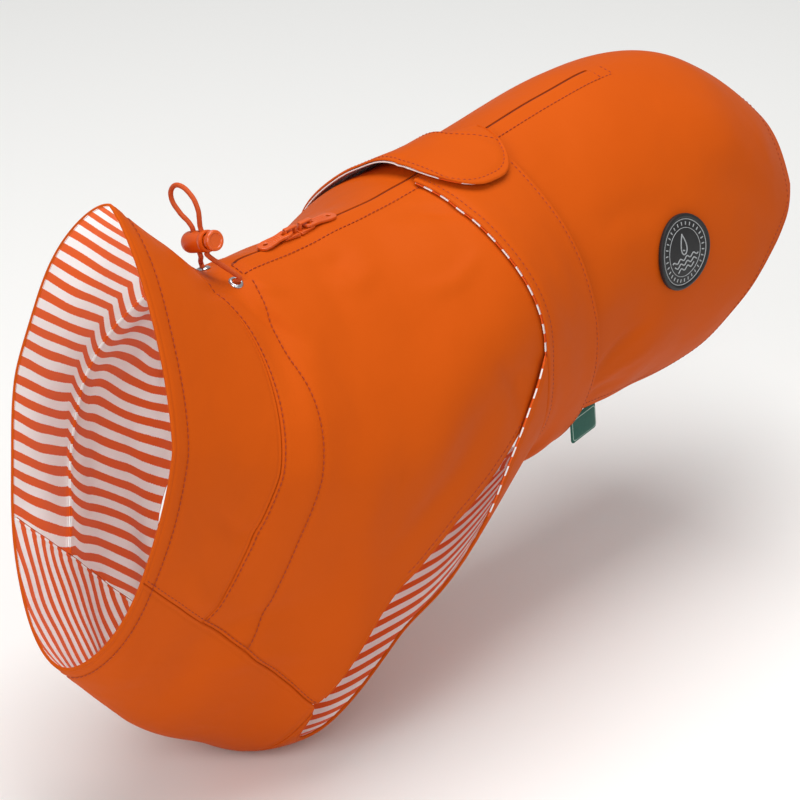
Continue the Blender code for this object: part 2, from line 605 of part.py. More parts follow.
def add_drawcord(parts, look, steel):
    """Elastic cord from the near eyelet up through the lock, round a free loop and down to the far eyelet."""
    ends = {}
    for name, side in (("near", -1), ("far", 1)):
        point = on_panel(EYELET_STATION, side * EYELET_ARC, 0)
        normal = outward(EYELET_STATION, side * EYELET_ARC)
        ends[side] = (point - normal * 0.9, point + normal * 1.2, point + normal * 4.2)
        half = EYELET_HEIGHT / 2
        eyelet = turned(f"eyelet_{name}", parts, steel, [
            (EYELET_BORE, half), (EYELET_BORE + 0.9, EYELET_HEIGHT), (EYELET_OUTER - 0.6, EYELET_HEIGHT),
            (EYELET_OUTER, 0.3), (EYELET_OUTER, 0), (EYELET_BORE, 0)], 16)
        eyelet.matrix_world = frame_at(point + normal * EYELET_LIFT, normal, (1, 0, 0))
    through = (-7.6, -5.2, 0, 5.2, 7.4)
    loop = [(NEAR_STRAND, up) for up in through]
    loop += [(14.6, 11), (15.6, 15.5), (15.0, 20), (12.4, 24.4), (8.6, 27.4), (4.2, 28.3), (0.2, 26.6),
             (-2.0, 23.2), (-1.4, 19), (1.6, 14.2), (5.4, 10.2)]
    loop += [(FAR_STRAND, up) for up in through[::-1]]
    route = list(ends[-1]) + [toggle_place(*point) for point in loop] + list(ends[1][::-1])
    points = []
    for index in range(len(route) - 1):
        before = route[max(index - 1, 0)]
        here, there = route[index], route[index + 1]
        after = route[min(index + 2, len(route) - 1)]
        steps = max(1, round(np.linalg.norm(there - here) / 3.0))
        for step in range(steps):
            t = step / steps
            points.append(0.5 * (2 * here + (there - before) * t
                                 + (2 * before - 5 * here + 4 * there - after) * t ** 2
                                 + (3 * here - before - 3 * there + after) * t ** 3))
    points.append(route[-1])
    curve = bpy.data.curves.new("drawcord", "CURVE")
    curve.dimensions = "3D"
    curve.bevel_depth = CORD_RADIUS * MM
    curve.bevel_resolution = 2
    curve.use_fill_caps = True
    spline = curve.splines.new("POLY")
    spline.points.add(len(points) - 1)
    for target, point in zip(spline.points, points):
        target.co = (*(point * MM), 1)
    add_object("drawcord", curve, parts, look)


# ---------------------------------------------------------------- badge and side label
def add_badge(parts, rubber):
    """Round rubber badge that follows the flank: a raised rim round a lower field."""
    rings = [(0, 1.7), (9, 1.7), (16.6, 1.7), (17.2, 2.3), (19.2, 2.3), (BADGE_RADIUS, 1.5)]
    spokes = 20
    middle = -BADGE_SHARE * half_girth(BADGE_STATION, -1)
    station_length = np.linalg.norm(bare_point(BADGE_STATION + 0.5, middle)
                                    - bare_point(BADGE_STATION - 0.5, middle))
    under = 0.5
    skin, back = [], []
    for radius, height in rings:
        radius = max(radius, 0.4)
        turns = [2 * math.pi * spoke / spokes for spoke in range(spokes)]
        places = [(BADGE_STATION + radius * math.cos(turn) / station_length,
                   middle + radius * math.sin(turn)) for turn in turns]
        skin.append([on_panel(at, arc, under + height) for at, arc in places])
        back.append([on_panel(at, arc, under) for at, arc in places])
    badge = cloth_wall("badge", parts, rubber, skin, back, closed_round=True)
    work = bmesh.new()
    work.from_mesh(badge.data)
    middle_edges = [edge for edge in work.edges if edge.is_boundary]
    bmesh.ops.holes_fill(work, edges=middle_edges)
    work.to_mesh(badge.data)
    work.free()


def add_side_label(parts, woven):
    """Small folded label that hangs from the near lower edge just behind the belt."""
    ends = [cloth_point(at, column_arc(at, -1, LEG_LINE), -SHELL_WALL / 2) for at in (10.08, 10.62)]
    along = ends[1] - ends[0]
    middle = (ends[0] + ends[1]) / 2
    label = block("side_label", parts, woven, LABEL_SIZE, (0, 0, 0))
    label.matrix_world = frame_at(middle - np.array([0, 0, LABEL_SIZE[2] / 2 + 2.2]), (0, 0.10, 1), along)
    edge = label.modifiers.new("Edge", "BEVEL")
    edge.width = 0.3 * MM
    edge.segments = 1


def build():
    for item in list(bpy.data.objects):
        bpy.data.objects.remove(item, do_unlink=True)
    parts = bpy.data.collections.new("dog_raincoat")
    cutters = bpy.data.collections.new("cutters")
    bpy.context.scene.collection.children.link(parts)
    bpy.context.scene.collection.children.link(cutters)
    cloth = material("coated_orange_cloth", ORANGE_CLOTH, 0.55)
    lining = material("striped_lining", STRIPED_LINING, 0.8)
    rubber = material("orange_plastic", ORANGE_RUBBER, 0.4)
    steel = material("eyelet_steel", STEEL, 0.25, 1.0)
    cord = material("orange_cord", ORANGE_RUBBER, 0.75)
    add_outer_cloth(parts, cutters, cloth)
    add_belt(parts, cloth, lining)
    add_linings(parts, lining)
    add_zip(parts, cutters, cloth, rubber)
    add_toggle(parts, cutters, rubber)
    add_drawcord(parts, cord, steel)
    add_badge(parts, material("black_rubber", BLACK_RUBBER, 0.6))
    add_side_label(parts, material("green_woven", GREEN_WOVEN, 0.8))


build()
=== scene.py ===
"""Dog raincoat, filled out and empty.  The dog would face -X, its left (near) flank is -Y and +Z is up."""
import math
from collections import namedtuple

import bmesh
import bpy
import numpy as np
from mathutils import Matrix, Vector


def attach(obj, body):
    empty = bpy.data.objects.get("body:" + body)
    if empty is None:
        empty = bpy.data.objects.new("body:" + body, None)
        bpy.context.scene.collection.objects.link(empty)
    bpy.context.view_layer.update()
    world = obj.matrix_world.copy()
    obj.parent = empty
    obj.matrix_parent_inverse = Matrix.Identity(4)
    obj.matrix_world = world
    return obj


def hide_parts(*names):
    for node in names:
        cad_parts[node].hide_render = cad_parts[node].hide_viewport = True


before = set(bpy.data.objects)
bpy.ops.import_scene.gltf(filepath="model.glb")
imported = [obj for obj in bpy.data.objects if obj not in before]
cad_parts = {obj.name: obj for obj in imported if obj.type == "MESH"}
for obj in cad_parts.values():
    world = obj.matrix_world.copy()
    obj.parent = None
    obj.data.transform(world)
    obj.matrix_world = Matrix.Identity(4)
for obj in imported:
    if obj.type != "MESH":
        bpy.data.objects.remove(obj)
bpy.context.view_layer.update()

MM = 0.001


# ------------------------------------------------------------------ camera, light and floor
# A long lens from the dog's front left and above, on a pale studio sweep.  One broad soft lamp hangs overhead and
# two weaker ones stand before the chest and beside the camera: the back is light, the flanks a deeper orange.
def linear(hex_colour):
    """sRGB hex to linear RGBA."""
    values = [int(hex_colour[i:i + 2], 16) / 255 for i in (1, 3, 5)]
    return tuple(v / 12.92 if v <= 0.04045 else ((v + 0.055) / 1.055) ** 2.4 for v in values) + (1.0,)


def plug(node, inputs):
    """Give a node's sockets a value each, or another node's output."""
    for socket, value in inputs.items():
        if isinstance(value, bpy.types.NodeSocket):
            node.id_data.links.new(value, node.inputs[socket])
        else:
            node.inputs[socket].default_value = value


def add_node(material, kind, inputs=None, **settings):
    """One shader node with its settings and its inputs."""
    node = material.node_tree.nodes.new(kind)
    for key, value in settings.items():
        setattr(node, key, value)
    plug(node, inputs or {})
    return node


def new_material(name):
    """A material, and its shader."""
    material = bpy.data.materials.new(name)
    material.use_nodes = True
    return material, material.node_tree.nodes["Principled BSDF"]


def select_only(piece):
    bpy.ops.object.select_all(action="DESELECT")
    piece.select_set(True)
    bpy.context.view_layer.objects.active = piece


AZIMUTH, ELEVATION, DISTANCE = math.radians(-48), math.radians(28), 1.8
PICTURE_MIDDLE, FLOOR_HEIGHT = Vector((0, 0, -0.123)), -0.2745
towards_camera = Vector((math.sin(AZIMUTH) * math.cos(ELEVATION), -math.cos(AZIMUTH) * math.cos(ELEVATION),
                         math.sin(ELEVATION)))
camera_data = bpy.data.cameras.new("camera")
camera_data.lens, camera_data.sensor_width = 156.3, 36.0
camera_data.clip_start, camera_data.clip_end = 0.05, 20
camera = bpy.data.objects.new("camera", camera_data)
camera.location = PICTURE_MIDDLE + towards_camera * DISTANCE
camera.rotation_mode = "QUATERNION"
camera.rotation_quaternion = (-towards_camera).to_track_quat("-Z", "Y")
bpy.context.scene.collection.objects.link(camera)
bpy.context.scene.camera = camera

Lamp = namedtuple("Lamp", "name place aim size power")
LAMPS = [
    Lamp("overhead_softbox", (0.05, 0.0, 1.5), (0.05, 0.0, 0.0), 1.2, 22),
    Lamp("front_softbox", (-1.6, -0.45, 0.85), (-0.2, 0, -0.08), 0.8, 10),
    Lamp("camera_side_softbox", (-0.9, -1.6, 1.1), (0.0, 0, -0.05), 1.0, 6),
]


def hang(lamp):
    """A soft lamp at its place, facing its aim."""
    light_data = bpy.data.lights.new(lamp.name, "AREA")
    light_data.size, light_data.energy = lamp.size, lamp.power
    light = bpy.data.objects.new(lamp.name, light_data)
    light.location = lamp.place
    light.rotation_euler = (Vector(lamp.aim) - Vector(lamp.place)).to_track_quat("-Z", "Y").to_euler()
    bpy.context.scene.collection.objects.link(light)
    return light


for lamp in LAMPS:
    hang(lamp)

world = bpy.data.worlds.new("studio")
world.use_nodes = True
plug(world.node_tree.nodes["Background"], {"Color": linear("#FFFFFF"), "Strength": 0.37})
bpy.context.scene.world = world
bpy.context.scene.view_settings.view_transform = "Standard"

studio_paper, shader = new_material("studio_paper")
plug(shader, {"Base Color": linear("#F6F6F4"), "Roughness": 0.9, "Specular IOR Level": 0.1})
bpy.ops.object.select_all(action="DESELECT")
bpy.ops.mesh.primitive_plane_add(size=12, location=(0, 0, FLOOR_HEIGHT))
floor = bpy.context.object
floor.name = "floor"
floor.data.materials.append(studio_paper)

# ------------------------------------------------------------------ the coat's form
# Every cloth piece lies on one filled-out form.  A station is one section of it, in a plane through the back
# line and the keel line under the belly; a share is the way round from the back line (0) to the keel (1),
# negative on the near side.
Station = namedtuple("Station", "name back_x back_z keel_x keel_z half_width widest "
                                "near_round far_round keel_round sway")
STATIONS = [
    Station("rim",        -197,   57, -245, -172, 54, .44, 1.30, 1.60, 1.90, -4),
    Station("collar",     -166,   26, -227, -194, 60, .39, 1.45, 1.60, 1.75, -2),
    Station("neck_seam",  -137,    0, -208, -215, 69, .35, 1.55, 1.55, 1.55,  0),
    Station("casing",     -112,   -1, -189, -234, 76, .36, 1.55, 1.50, 1.60,  0),
    Station("shoulder",    -90,   -2, -157, -256, 81, .37, 1.55, 1.50, 1.70,  0),
    Station("leg_front",   -73,   -2, -130, -271, 84, .37, 1.60, 1.45, 2.10,  0),
    Station("leg_mid",     -48,   -2,  -92, -265, 87, .36, 1.70, 1.45, 2.60,  0),
    Station("leg_rear",    -22,   -2,  -40, -231, 87, .36, 1.90, 1.50, 2.50,  0),
    Station("belt_front",    3,    0,   30, -175, 84, .38, 2.05, 1.65, 2.00,  0),
    Station("belt_mid",     30,    3,   51, -175, 80, .42, 1.90, 1.75, 2.05,  0),
    Station("belt_rear",    57,    7,   72, -174, 77, .46, 1.70, 1.75, 2.00,  0),
    Station("loin",        105,   13,  110, -172, 77, .48, 1.70, 1.75, 2.00,  0),
    Station("zip_end",     147,   15,  144, -170, 78, .50, 1.80, 1.85, 2.00,  0),
    Station("rump",        200,    9,  175, -168, 78, .53, 1.85, 1.90, 2.00,  0),
    Station("croup",       240,  -10,  200, -161, 75, .57, 1.88, 1.90, 2.00,  0),
    Station("hem",         272,  -35,  222, -148, 70, .62, 1.85, 1.90, 2.00,  0),
]
# Broad soft swells of the filled-out cloth: along in stations, around in shares, rise in mm.
Fold = namedtuple("Fold", "station share along around rise")
FOLDS = [
    Fold(2.5, -.18, .45, .07, -2.2), Fold(2.9, -.32, .60, .10, 2.0), Fold(2.6, .22, .50, .09, -2.0),
    Fold(3.4, -.62, .70, .09, -2.4), Fold(4.3, -.45, .80, .12, 2.2), Fold(3.8, .55, .80, .12, 1.8),
    Fold(6.9, -.42, .60, .08, -2.6), Fold(6.6, .40, .70, .10, -2.2), Fold(6.2, -.22, .80, .06, -1.6),
    Fold(10.8, -.52, .50, .07, -2.0), Fold(11.1, -.66, .60, .06, 1.8), Fold(10.9, .55, .60, .08, -1.8),
    Fold(13.0, -.22, .80, .12, 1.4), Fold(13.6, .35, .70, .12, -1.6),
]
AT_STEP, SHARE_STEPS = 0.025, 320


def on_curve(before, here, there, after, t):
    """Point of a smooth curve a share t of the way from here to there."""
    return 0.5 * (2 * here + (there - before) * t + (2 * before - 5 * here + 4 * there - after) * t ** 2
                  + (3 * here - before - 3 * there + after) * t ** 3)


def station_values(at):
    """The station table's values at a place between its rows."""
    rows = [np.array(row[1:], float) for row in STATIONS]
    first = min(int(at), len(rows) - 2)
    before = rows[first - 1] if first else 2 * rows[0] - rows[1]
    after = rows[first + 2] if first + 2 < len(rows) else 2 * rows[-1] - rows[-2]
    return Station("", *on_curve(before, rows[first], rows[first + 1], after, at - first))


def half_section(at, side):
    """Evenly spaced points of one half section, from the back line to the keel, and its length."""
    row = station_values(at)
    back, keel = np.array([row.back_x, 0, row.back_z]), np.array([row.keel_x, 0, row.keel_z])
    height = np.linalg.norm(keel - back)
    round_top = row.near_round if side < 0 else row.far_round
    turn = np.linspace(0, math.pi / 2, 400)
    y = np.r_[row.half_width * np.sin(turn) ** (2 / round_top),
              row.half_width * np.cos(turn[1:]).clip(0) ** (2 / row.keel_round)]
    depth = np.r_[row.widest * height * (1 - np.cos(turn).clip(0) ** (2 / round_top)),
                  height * (row.widest + (1 - row.widest) * np.sin(turn[1:]) ** (2 / row.keel_round))]
    arc = np.r_[0, np.cumsum(np.hypot(np.diff(y), np.diff(depth)))]
    even = np.linspace(0, arc[-1], SHARE_STEPS + 1)
    y, depth = np.interp(even, arc, y), np.interp(even, arc, depth)
    place = back + np.outer(depth / height, keel - back)
    place[:, 1] = side * y + row.sway * np.sin(np.pi * depth / height)
    return place, arc[-1]


HEM = len(STATIONS) - 1
table_ats = np.arange(0, HEM + AT_STEP / 2, AT_STEP)
sections = [[half_section(min(at, HEM - 0.0001), side) for at in table_ats] for side in (-1, 1)]
FORM = np.array([[row[0] for row in half] for half in sections])
GIRTH = np.array([[row[1] for row in half] for half in sections])
LENGTH = np.concatenate([np.zeros_like(FORM[:, :1, :, 0]),
                         np.cumsum(np.linalg.norm(np.diff(FORM, axis=1), axis=3), axis=1)], axis=1)
# Both halves point outward, have no sideways part at the keel, and agree along the back line.
OUTWARD = np.cross(np.gradient(FORM, axis=1), np.gradient(FORM, axis=2))
OUTWARD[0] *= -1
OUTWARD[:, :, -3:, 1] = 0
OUTWARD[:, :, :2] = OUTWARD[:, :, :2].mean(axis=0) + OUTWARD[:, :, 2:3] * [0, 0.05, 0]
OUTWARD /= np.linalg.norm(OUTWARD, axis=3, keepdims=True)


def looked_up(table, at, share):
    """Value of a table at stations and shares, between its rows and columns."""
    at, share = np.broadcast_arrays(np.asarray(at, float), np.asarray(share, float))
    half = (share > 0).astype(int)
    along = np.clip(at / AT_STEP, 0, len(table_ats) - 1.001)
    around = np.clip(np.abs(share) * SHARE_STEPS, 0, SHARE_STEPS - 0.001)
    i, j = along.astype(int), around.astype(int)
    s, t = (along - i)[..., None], (around - j)[..., None]
    values = table if table.ndim == 4 else table[..., None]
    found = ((values[half, i, j] * (1 - s) + values[half, i + 1, j] * s) * (1 - t)
             + (values[half, i, j + 1] * (1 - s) + values[half, i + 1, j + 1] * s) * t)
    return found if table.ndim == 4 else found[..., 0]


def girth(at, share):
    """Length of the half section in mm, on the side that the share's sign names."""
    share = np.asarray(share, float)
    return np.where(share > 0, np.interp(at, table_ats, GIRTH[1]), np.interp(at, table_ats, GIRTH[0]))


def share_at(at, arc):
    """Share of a signed distance from the back line, in mm."""
    return arc / girth(at, arc)


def swell(at, share):
    """Rise of the broad swells in mm."""
    at, share = np.broadcast_arrays(np.asarray(at, float), np.asarray(share, float))
    rise = np.zeros(at.shape)
    for fold in FOLDS:
        rise += fold.rise * np.exp(-((at - fold.station) / fold.along) ** 2
                                   - ((share - fold.share) / fold.around) ** 2)
    return rise


def smooth(t):
    """Soft step from 0 at t = 0 to 1 at t = 1."""
    t = np.clip(t, 0.0, 1.0)
    return t * t * (3 - 2 * t)


def between(low, high, t):
    return low + (high - low) * t


def bare(at, share, out=0.0):
    """Point on the form, out mm outside it, with the broad swells only."""
    lift = swell(at, share) + out
    return looked_up(FORM, at, share) + looked_up(OUTWARD, at, share) * lift[..., None]


# A crease follows a line of (station, share) points: width and rise in mm, a negative rise is a valley.
Crease = namedtuple("Crease", "line width rise")
CREASES = [
    Crease([(2.15, -.05), (2.35, -.10), (2.75, -.15), (3.1, -.19)], 4.0, -1.9),
    Crease([(2.45, -.03), (2.8, -.07), (3.25, -.09)], 3.0, 1.4),
    Crease([(1.2, -.10), (1.6, -.07), (2.1, -.05)], 3.4, -1.2),
    Crease([(4.3, -.055), (4.9, -.075), (5.5, -.065)], 5.0, -1.5),
    Crease([(4.6, -.10), (5.2, -.115), (5.8, -.10)], 5.0, 1.2),
    Crease([(6.9, -.06), (7.5, -.085), (8.2, -.155)], 4.5, -1.5),
    Crease([(6.3, -.17), (7.0, -.20), (7.8, -.215)], 5.0, 1.2),
    Crease([(2.0, -.72), (2.9, -.66), (3.8, -.62)], 7.0, -2.0),
    Crease([(2.6, -.78), (3.5, -.72), (4.4, -.69)], 7.0, 1.7),
    Crease([(1.0, -.50), (1.6, -.52), (2.1, -.50)], 5.0, -1.4),
    Crease([(0.9, -.63), (1.4, -.66), (2.0, -.66)], 6.0, 1.4),
    Crease([(5.2, -.50), (6.0, -.46), (6.9, -.44)], 9.0, -2.0),
    Crease([(7.2, -.36), (7.5, -.44), (7.6, -.52)], 6.0, -2.5),
    Crease([(10.05, -.60), (10.5, -.57), (11.1, -.55)], 4.0, -2.0),
    Crease([(10.05, -.64), (10.6, -.625), (11.2, -.62)], 3.6, 1.5),
    Crease([(10.05, -.67), (10.45, -.67), (10.9, -.68)], 3.4, -1.5),
    Crease([(10.3, -.30), (11.0, -.31), (11.8, -.34)], 9.0, -1.4),
    Crease([(12.6, -.30), (13.3, -.36), (13.9, -.42)], 10.0, -1.5),
    Crease([(2.1, .05), (2.4, .11), (2.9, .16)], 4.0, -1.7),
    Crease([(5.1, .50), (6.0, .47), (7.2, .44)], 9.0, -2.0),
    Crease([(10.1, .60), (10.7, .57), (11.4, .55)], 5.0, -1.9),
]
CREASE_POINTS = 26


def creased(at, share):
    """Rise of the creases at stations and shares, in mm."""
    at, share = np.broadcast_arrays(np.asarray(at, float), np.asarray(share, float))
    points = looked_up(FORM, at, share)
    rise = np.zeros(at.shape)
    for crease in CREASES:
        line = np.array(crease.line)
        steps = np.linspace(0, len(line) - 1, CREASE_POINTS)
        ats, shares = (np.interp(steps, range(len(line)), line[:, axis]) for axis in (0, 1))
        path = looked_up(FORM, ats, shares)
        fade = np.sin(np.pi * (np.arange(CREASE_POINTS) + 0.5) / CREASE_POINTS) ** 0.8
        low, high = path.min(0) - 3 * crease.width, path.max(0) + 3 * crease.width
        near = ((points > low) & (points < high)).all(-1)
        if not near.any():
            continue
        gaps = ((points[near][:, None] - path[None]) ** 2).sum(-1)
        rise[near] += crease.rise * (fade * np.exp(-gaps / crease.width ** 2)).max(1)
    return rise


STATION_MM, HALF_GIRTH_MM = 29, 310


def ripple(at, share, seed):
    """Slow uneven movement of filled cloth, a fraction of a millimetre, from a few crossing waves."""
    along, around = np.asarray(at, float) * STATION_MM, np.asarray(share, float) * HALF_GIRTH_MM
    rng = np.random.RandomState(seed)
    total = 0
    for wave in (95, 61, 43, 29):
        angle, phase = rng.uniform(0, math.pi), rng.uniform(0, 2 * math.pi)
        total = total + wave / 160 * np.sin((along * math.cos(angle) + around * math.sin(angle))
                                            * 2 * math.pi / wave + phase)
    return total * 0.6


def skin(at, share, out):
    """Point on the coat's cloth, out mm outside its outer face, with all its folds."""
    return bare(at, share, out + creased(at, share) + ripple(at, share, 3))


# ------------------------------------------------------------------ cutting the pieces
# The shapes are cut as the cutter lays them: the saddle and the rear piece meet on the spine zip, the chest
# piece runs under the neck, and the belly piece goes back between the front legs to the belt.
Cut = namedtuple("Cut", "station upper lower")
FRONT_CUTS = [
    Cut(0.00, .695, .695), Cut(1.00, .697, .697), Cut(2.00, .708, .708), Cut(3.00, .727, .727),
    Cut(4.00, .765, .765), Cut(4.90, .785, .785), Cut(5.00, .735, .840), Cut(5.10, .665, .868),
    Cut(5.25, .615, .882), Cut(5.50, .575, .886), Cut(6.00, .550, .884), Cut(6.50, .540, .872),
    Cut(6.90, .547, .862), Cut(7.05, .551, .840), Cut(7.20, .555, .750), Cut(7.32, .560, .640),
    Cut(7.42, .563, .600), Cut(7.52, .565, .575), Cut(7.70, .566, .535), Cut(7.85, .566, .500),
    Cut(8.00, .566, .460), Cut(8.20, .567, .430), Cut(9.00, .572, .580), Cut(10.0, .588, .597),
]
REAR_CUTS = [
    Cut(10.0, .715, .727), Cut(11.0, .760, .772), Cut(12.0, .795, .810), Cut(12.6, .795, .810),
    Cut(13.0, .735, .810), Cut(13.3, .640, .810), Cut(13.6, .568, .810), Cut(14.0, .512, .810),
    Cut(14.4, .470, .810), Cut(14.7, .432, .810), Cut(15.0, .345, .810),
]
NECK_SEAM = [(0.0, 1.50), (.065, 1.56), (.095, 1.8), (.14, 1.95), (.20, 2.04), (.30, 2.08), (.38, 2.05),
             (.45, 1.96), (.54, 1.9), (.62, 1.88), (.71, 1.68), (.78, 1.54), (1.0, 1.42)]
CASING = [(0.0, 2.66), (.055, 2.65), (.16, 2.56), (.2, 2.65), (.235, 2.8), (.275, 2.9), (.33, 2.95),
          (.435, 2.95), (.5, 2.91), (.565, 2.95), (.715, 3.0), (1.0, 3.0)]
# Stations of the zip slot's ends, of the leg holes' front, and of the belt's front and rear seams.
ZIP_FRONT, ZIP_REAR, LEG_FRONT, BELT_FRONT, BELT_REAR = 2.65, 12.0, 4.9, 8.0, 10.0
# Half the slot in mm; the gap at a seam on each side of it, in stations and as a share.
SLOT_HALF_WIDTH, SEAM_GAP, SHARE_GAP = 0.8, 0.006, 0.0006
# Rows of points near a piece's end, in mm from it, where its edge is turned.
EDGE_STEPS = (0.0, 0.4, 0.9, 1.5, 2.2, 3.0, 3.9, 5.0, 6.4)


def eased(positions, values, blur):
    """A smooth curve that stays close to a table of values."""
    fine = np.linspace(positions[0], positions[-1], 1501)
    spacing = fine[1] - fine[0]
    reach = int(3 * blur / spacing) + 1
    kernel = np.exp(-(np.arange(-reach, reach + 1) * spacing / blur) ** 2 / 2)
    line = np.interp(fine, positions, values)
    ends = np.r_[2 * line[0] - line[reach:0:-1], line, 2 * line[-1] - line[-2:-reach - 2:-1]]
    return fine, np.convolve(ends, kernel / kernel.sum(), "valid")


upper_front = eased([cut.station for cut in FRONT_CUTS], [cut.upper for cut in FRONT_CUTS], 0.05)
lower_front = eased([cut.station for cut in FRONT_CUTS], [cut.lower for cut in FRONT_CUTS], 0.05)
upper_rear = eased([cut.station for cut in REAR_CUTS], [cut.upper for cut in REAR_CUTS], 0.10)
casing_line = eased(*zip(*CASING), 0.015)
neck_seam = eased(*zip(*NECK_SEAM), 0.022)


def distances(length, coarse):
    """Places from 0 to a length in mm: close together at both ends, coarse between them."""
    fine, first = EDGE_STEPS[:-1], EDGE_STEPS[-1]
    middle = np.linspace(first, length - first, max(2, round((length - 2 * first) / coarse)) + 1)
    return np.r_[fine, middle, length - np.array(fine)[::-1]] / length


# Shell: polyester rain cloth with a soft matt polyurethane coat, cut on the straight grain.  The coat fills
# the weave, so it shows a fine even grain, a broad soft sheen and slow changes of tone where it is eased.
# A Mix node's colour sockets go by number.
MIX_A, MIX_B, MIX_RESULT = 6, 7, 2
rain_cloth, shader = new_material("coated_polyester_rain_cloth")
place = add_node(rain_cloth, "ShaderNodeTexCoord").outputs["Object"]
tone = add_node(rain_cloth, "ShaderNodeTexNoise", {"Vector": place, "Scale": 14.0, "Detail": 3.0,
                                                   "Roughness": 0.55})
colours = add_node(rain_cloth, "ShaderNodeMix", {"Factor": tone.outputs["Fac"], MIX_A: linear("#C4500E"),
                                                 MIX_B: linear("#CC5612")}, data_type="RGBA")
# Threads are 0.25 mm apart; the grain is drawn at 0.9 mm so that it can show.
grain = add_node(rain_cloth, "ShaderNodeTexNoise", {"Vector": place, "Scale": 1100.0, "Detail": 1.0})
slack = add_node(rain_cloth, "ShaderNodeTexNoise", {"Vector": place, "Scale": 38.0, "Detail": 2.0,
                                                    "Roughness": 0.4})
fine_bump = add_node(rain_cloth, "ShaderNodeBump", {"Height": grain.outputs["Fac"], "Strength": 0.10,
                                                    "Distance": 0.0002})
slack_bump = add_node(rain_cloth, "ShaderNodeBump", {"Height": slack.outputs["Fac"], "Strength": 0.45,
                                                     "Distance": 0.0026, "Normal": fine_bump.outputs["Normal"]})
plug(shader, {"Base Color": colours.outputs[MIX_RESULT], "Roughness": 0.48, "Specular IOR Level": 0.03,
              "Normal": slack_bump.outputs["Normal"]})

Fabric = namedtuple("Fabric", "material wall slot")
SHELL = Fabric(rain_cloth, 0.9, "cloth")
BODY_AXIS_DEPTH = 85


def mesh_object(name, points, faces, material=None):
    """An object with a mesh of points in mm and faces."""
    mesh = bpy.data.meshes.new(name)
    mesh.from_pydata((points.reshape(-1, 3) * MM).tolist(), [], [[int(v) for v in face] for face in faces])
    if material:
        mesh.materials.append(material)
    piece = bpy.data.objects.new(name, mesh)
    bpy.context.scene.collection.objects.link(piece)
    return piece


def add_stripes(mesh, values):
    """Keep the stripes' coordinates at each of a mesh's points in its UV map."""
    layer = mesh.uv_layers.new(name="stripes")
    corner_points = np.empty(len(mesh.loops), int)
    mesh.loops.foreach_get("vertex_index", corner_points)
    layer.data.foreach_set("uv", values[corner_points].astype(np.float32).ravel())


def lay(node, fabric, points, stripes=None, left_out=None):
    """A worn piece of cloth that stands for its CAD node.  It is the grid of its outer face in mm, given its
    thickness towards the middle of the body."""
    rows, columns = points.shape[:2]
    number = np.arange(rows * columns).reshape(rows, columns)
    corners = np.stack([number[:-1, :-1], number[:-1, 1:], number[1:, 1:], number[1:, :-1]], -1)
    facing = np.cross(points[1:, 1:] - points[:-1, :-1], points[1:, :-1] - points[:-1, 1:])
    from_axis = (points[1:, 1:] + points[:-1, :-1]) / 2 * [0, 1, 1] + [0, 0, BODY_AXIS_DEPTH]
    if (facing * from_axis).sum() < 0:
        corners = corners[..., ::-1]
    if left_out is not None:
        corners = corners[~left_out]
    piece = mesh_object(node.replace("_panel", "") + "_cloth", points, corners.reshape(-1, 4), fabric.material)
    if stripes is not None:
        add_stripes(piece.data, stripes.reshape(-1, 2))
    select_only(piece)
    thick = piece.modifiers.new("wall", "SOLIDIFY")
    thick.thickness, thick.offset = fabric.wall * MM, -1
    bpy.ops.object.modifier_apply(modifier="wall")
    bpy.ops.object.shade_smooth_by_angle(angle=math.radians(60))
    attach(piece, "coat")
    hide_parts(node)
    return piece


# ------------------------------------------------------------------ collar
# A tall stand collar in one band, its top edge turned over the lining and its lower edge sewn to the saddle.
# It reaches from chest seam to chest seam, about 0.70 of the way round.
COLLAR_DEPTH, COLLAR_HALF, COLLAR_SHARE, RIM_STITCH = 85, 195, 0.70, 0.28


def seam_roll(mm_in):
    """The outer face falls away over the last millimetre to a turned edge."""
    return (-0.9 * (1 - np.sqrt(1 - (1 - np.clip(mm_in / 1.5, 0, 1)) ** 2))
            - 0.35 * np.exp(-((mm_in - 2.4) / 0.9) ** 2))


def rim_row(at):
    """The row of stitches beside the neck opening presses a shallow groove."""
    return -0.45 * np.exp(-((at - RIM_STITCH) / 0.045) ** 2)


def edge_mm(steps, length):
    """Distance in mm from the nearer end of a length."""
    return np.minimum(steps, 1 - steps) * length


collar_rows = distances(COLLAR_DEPTH, 2.4)
collar_guess = between(0.003, COLLAR_SHARE, distances(COLLAR_HALF, 2.4))
collar_guess = np.r_[-collar_guess[::-1], collar_guess]
collar_at = between(0.0, np.interp(np.abs(collar_guess), *neck_seam)[None, :] - SEAM_GAP, collar_rows[:, None])
collar_share = collar_guess / COLLAR_SHARE * (np.interp(collar_at, *upper_front) - SHARE_GAP)
collar_out = seam_roll(edge_mm(collar_rows, COLLAR_DEPTH)[:, None]) + rim_row(collar_at)
lay("collar", SHELL, skin(collar_at, collar_share, collar_out))

# ------------------------------------------------------------------ saddle
# The main piece over the shoulders and back, from the neck seam to the belt's rear seam, open along the
# spine for the zip and cut away round each front leg.
PLACKET_WIDTH, SADDLE_LENGTH, SADDLE_HALF = 9.5, 240, 180


def over_back(start_at, end_at, rows, columns, upper_curve):
    """Stations and shares of a panel in two halves along the spine, from its near cut line to the far one."""
    side = np.repeat([-1, 1], len(columns))
    at = between(start_at, end_at, rows[:, None])
    slot = SLOT_HALF_WIDTH / girth(at, side[None, :])
    return at, side * between(slot, np.interp(at, *upper_curve) - SHARE_GAP, np.r_[columns[::-1], columns])


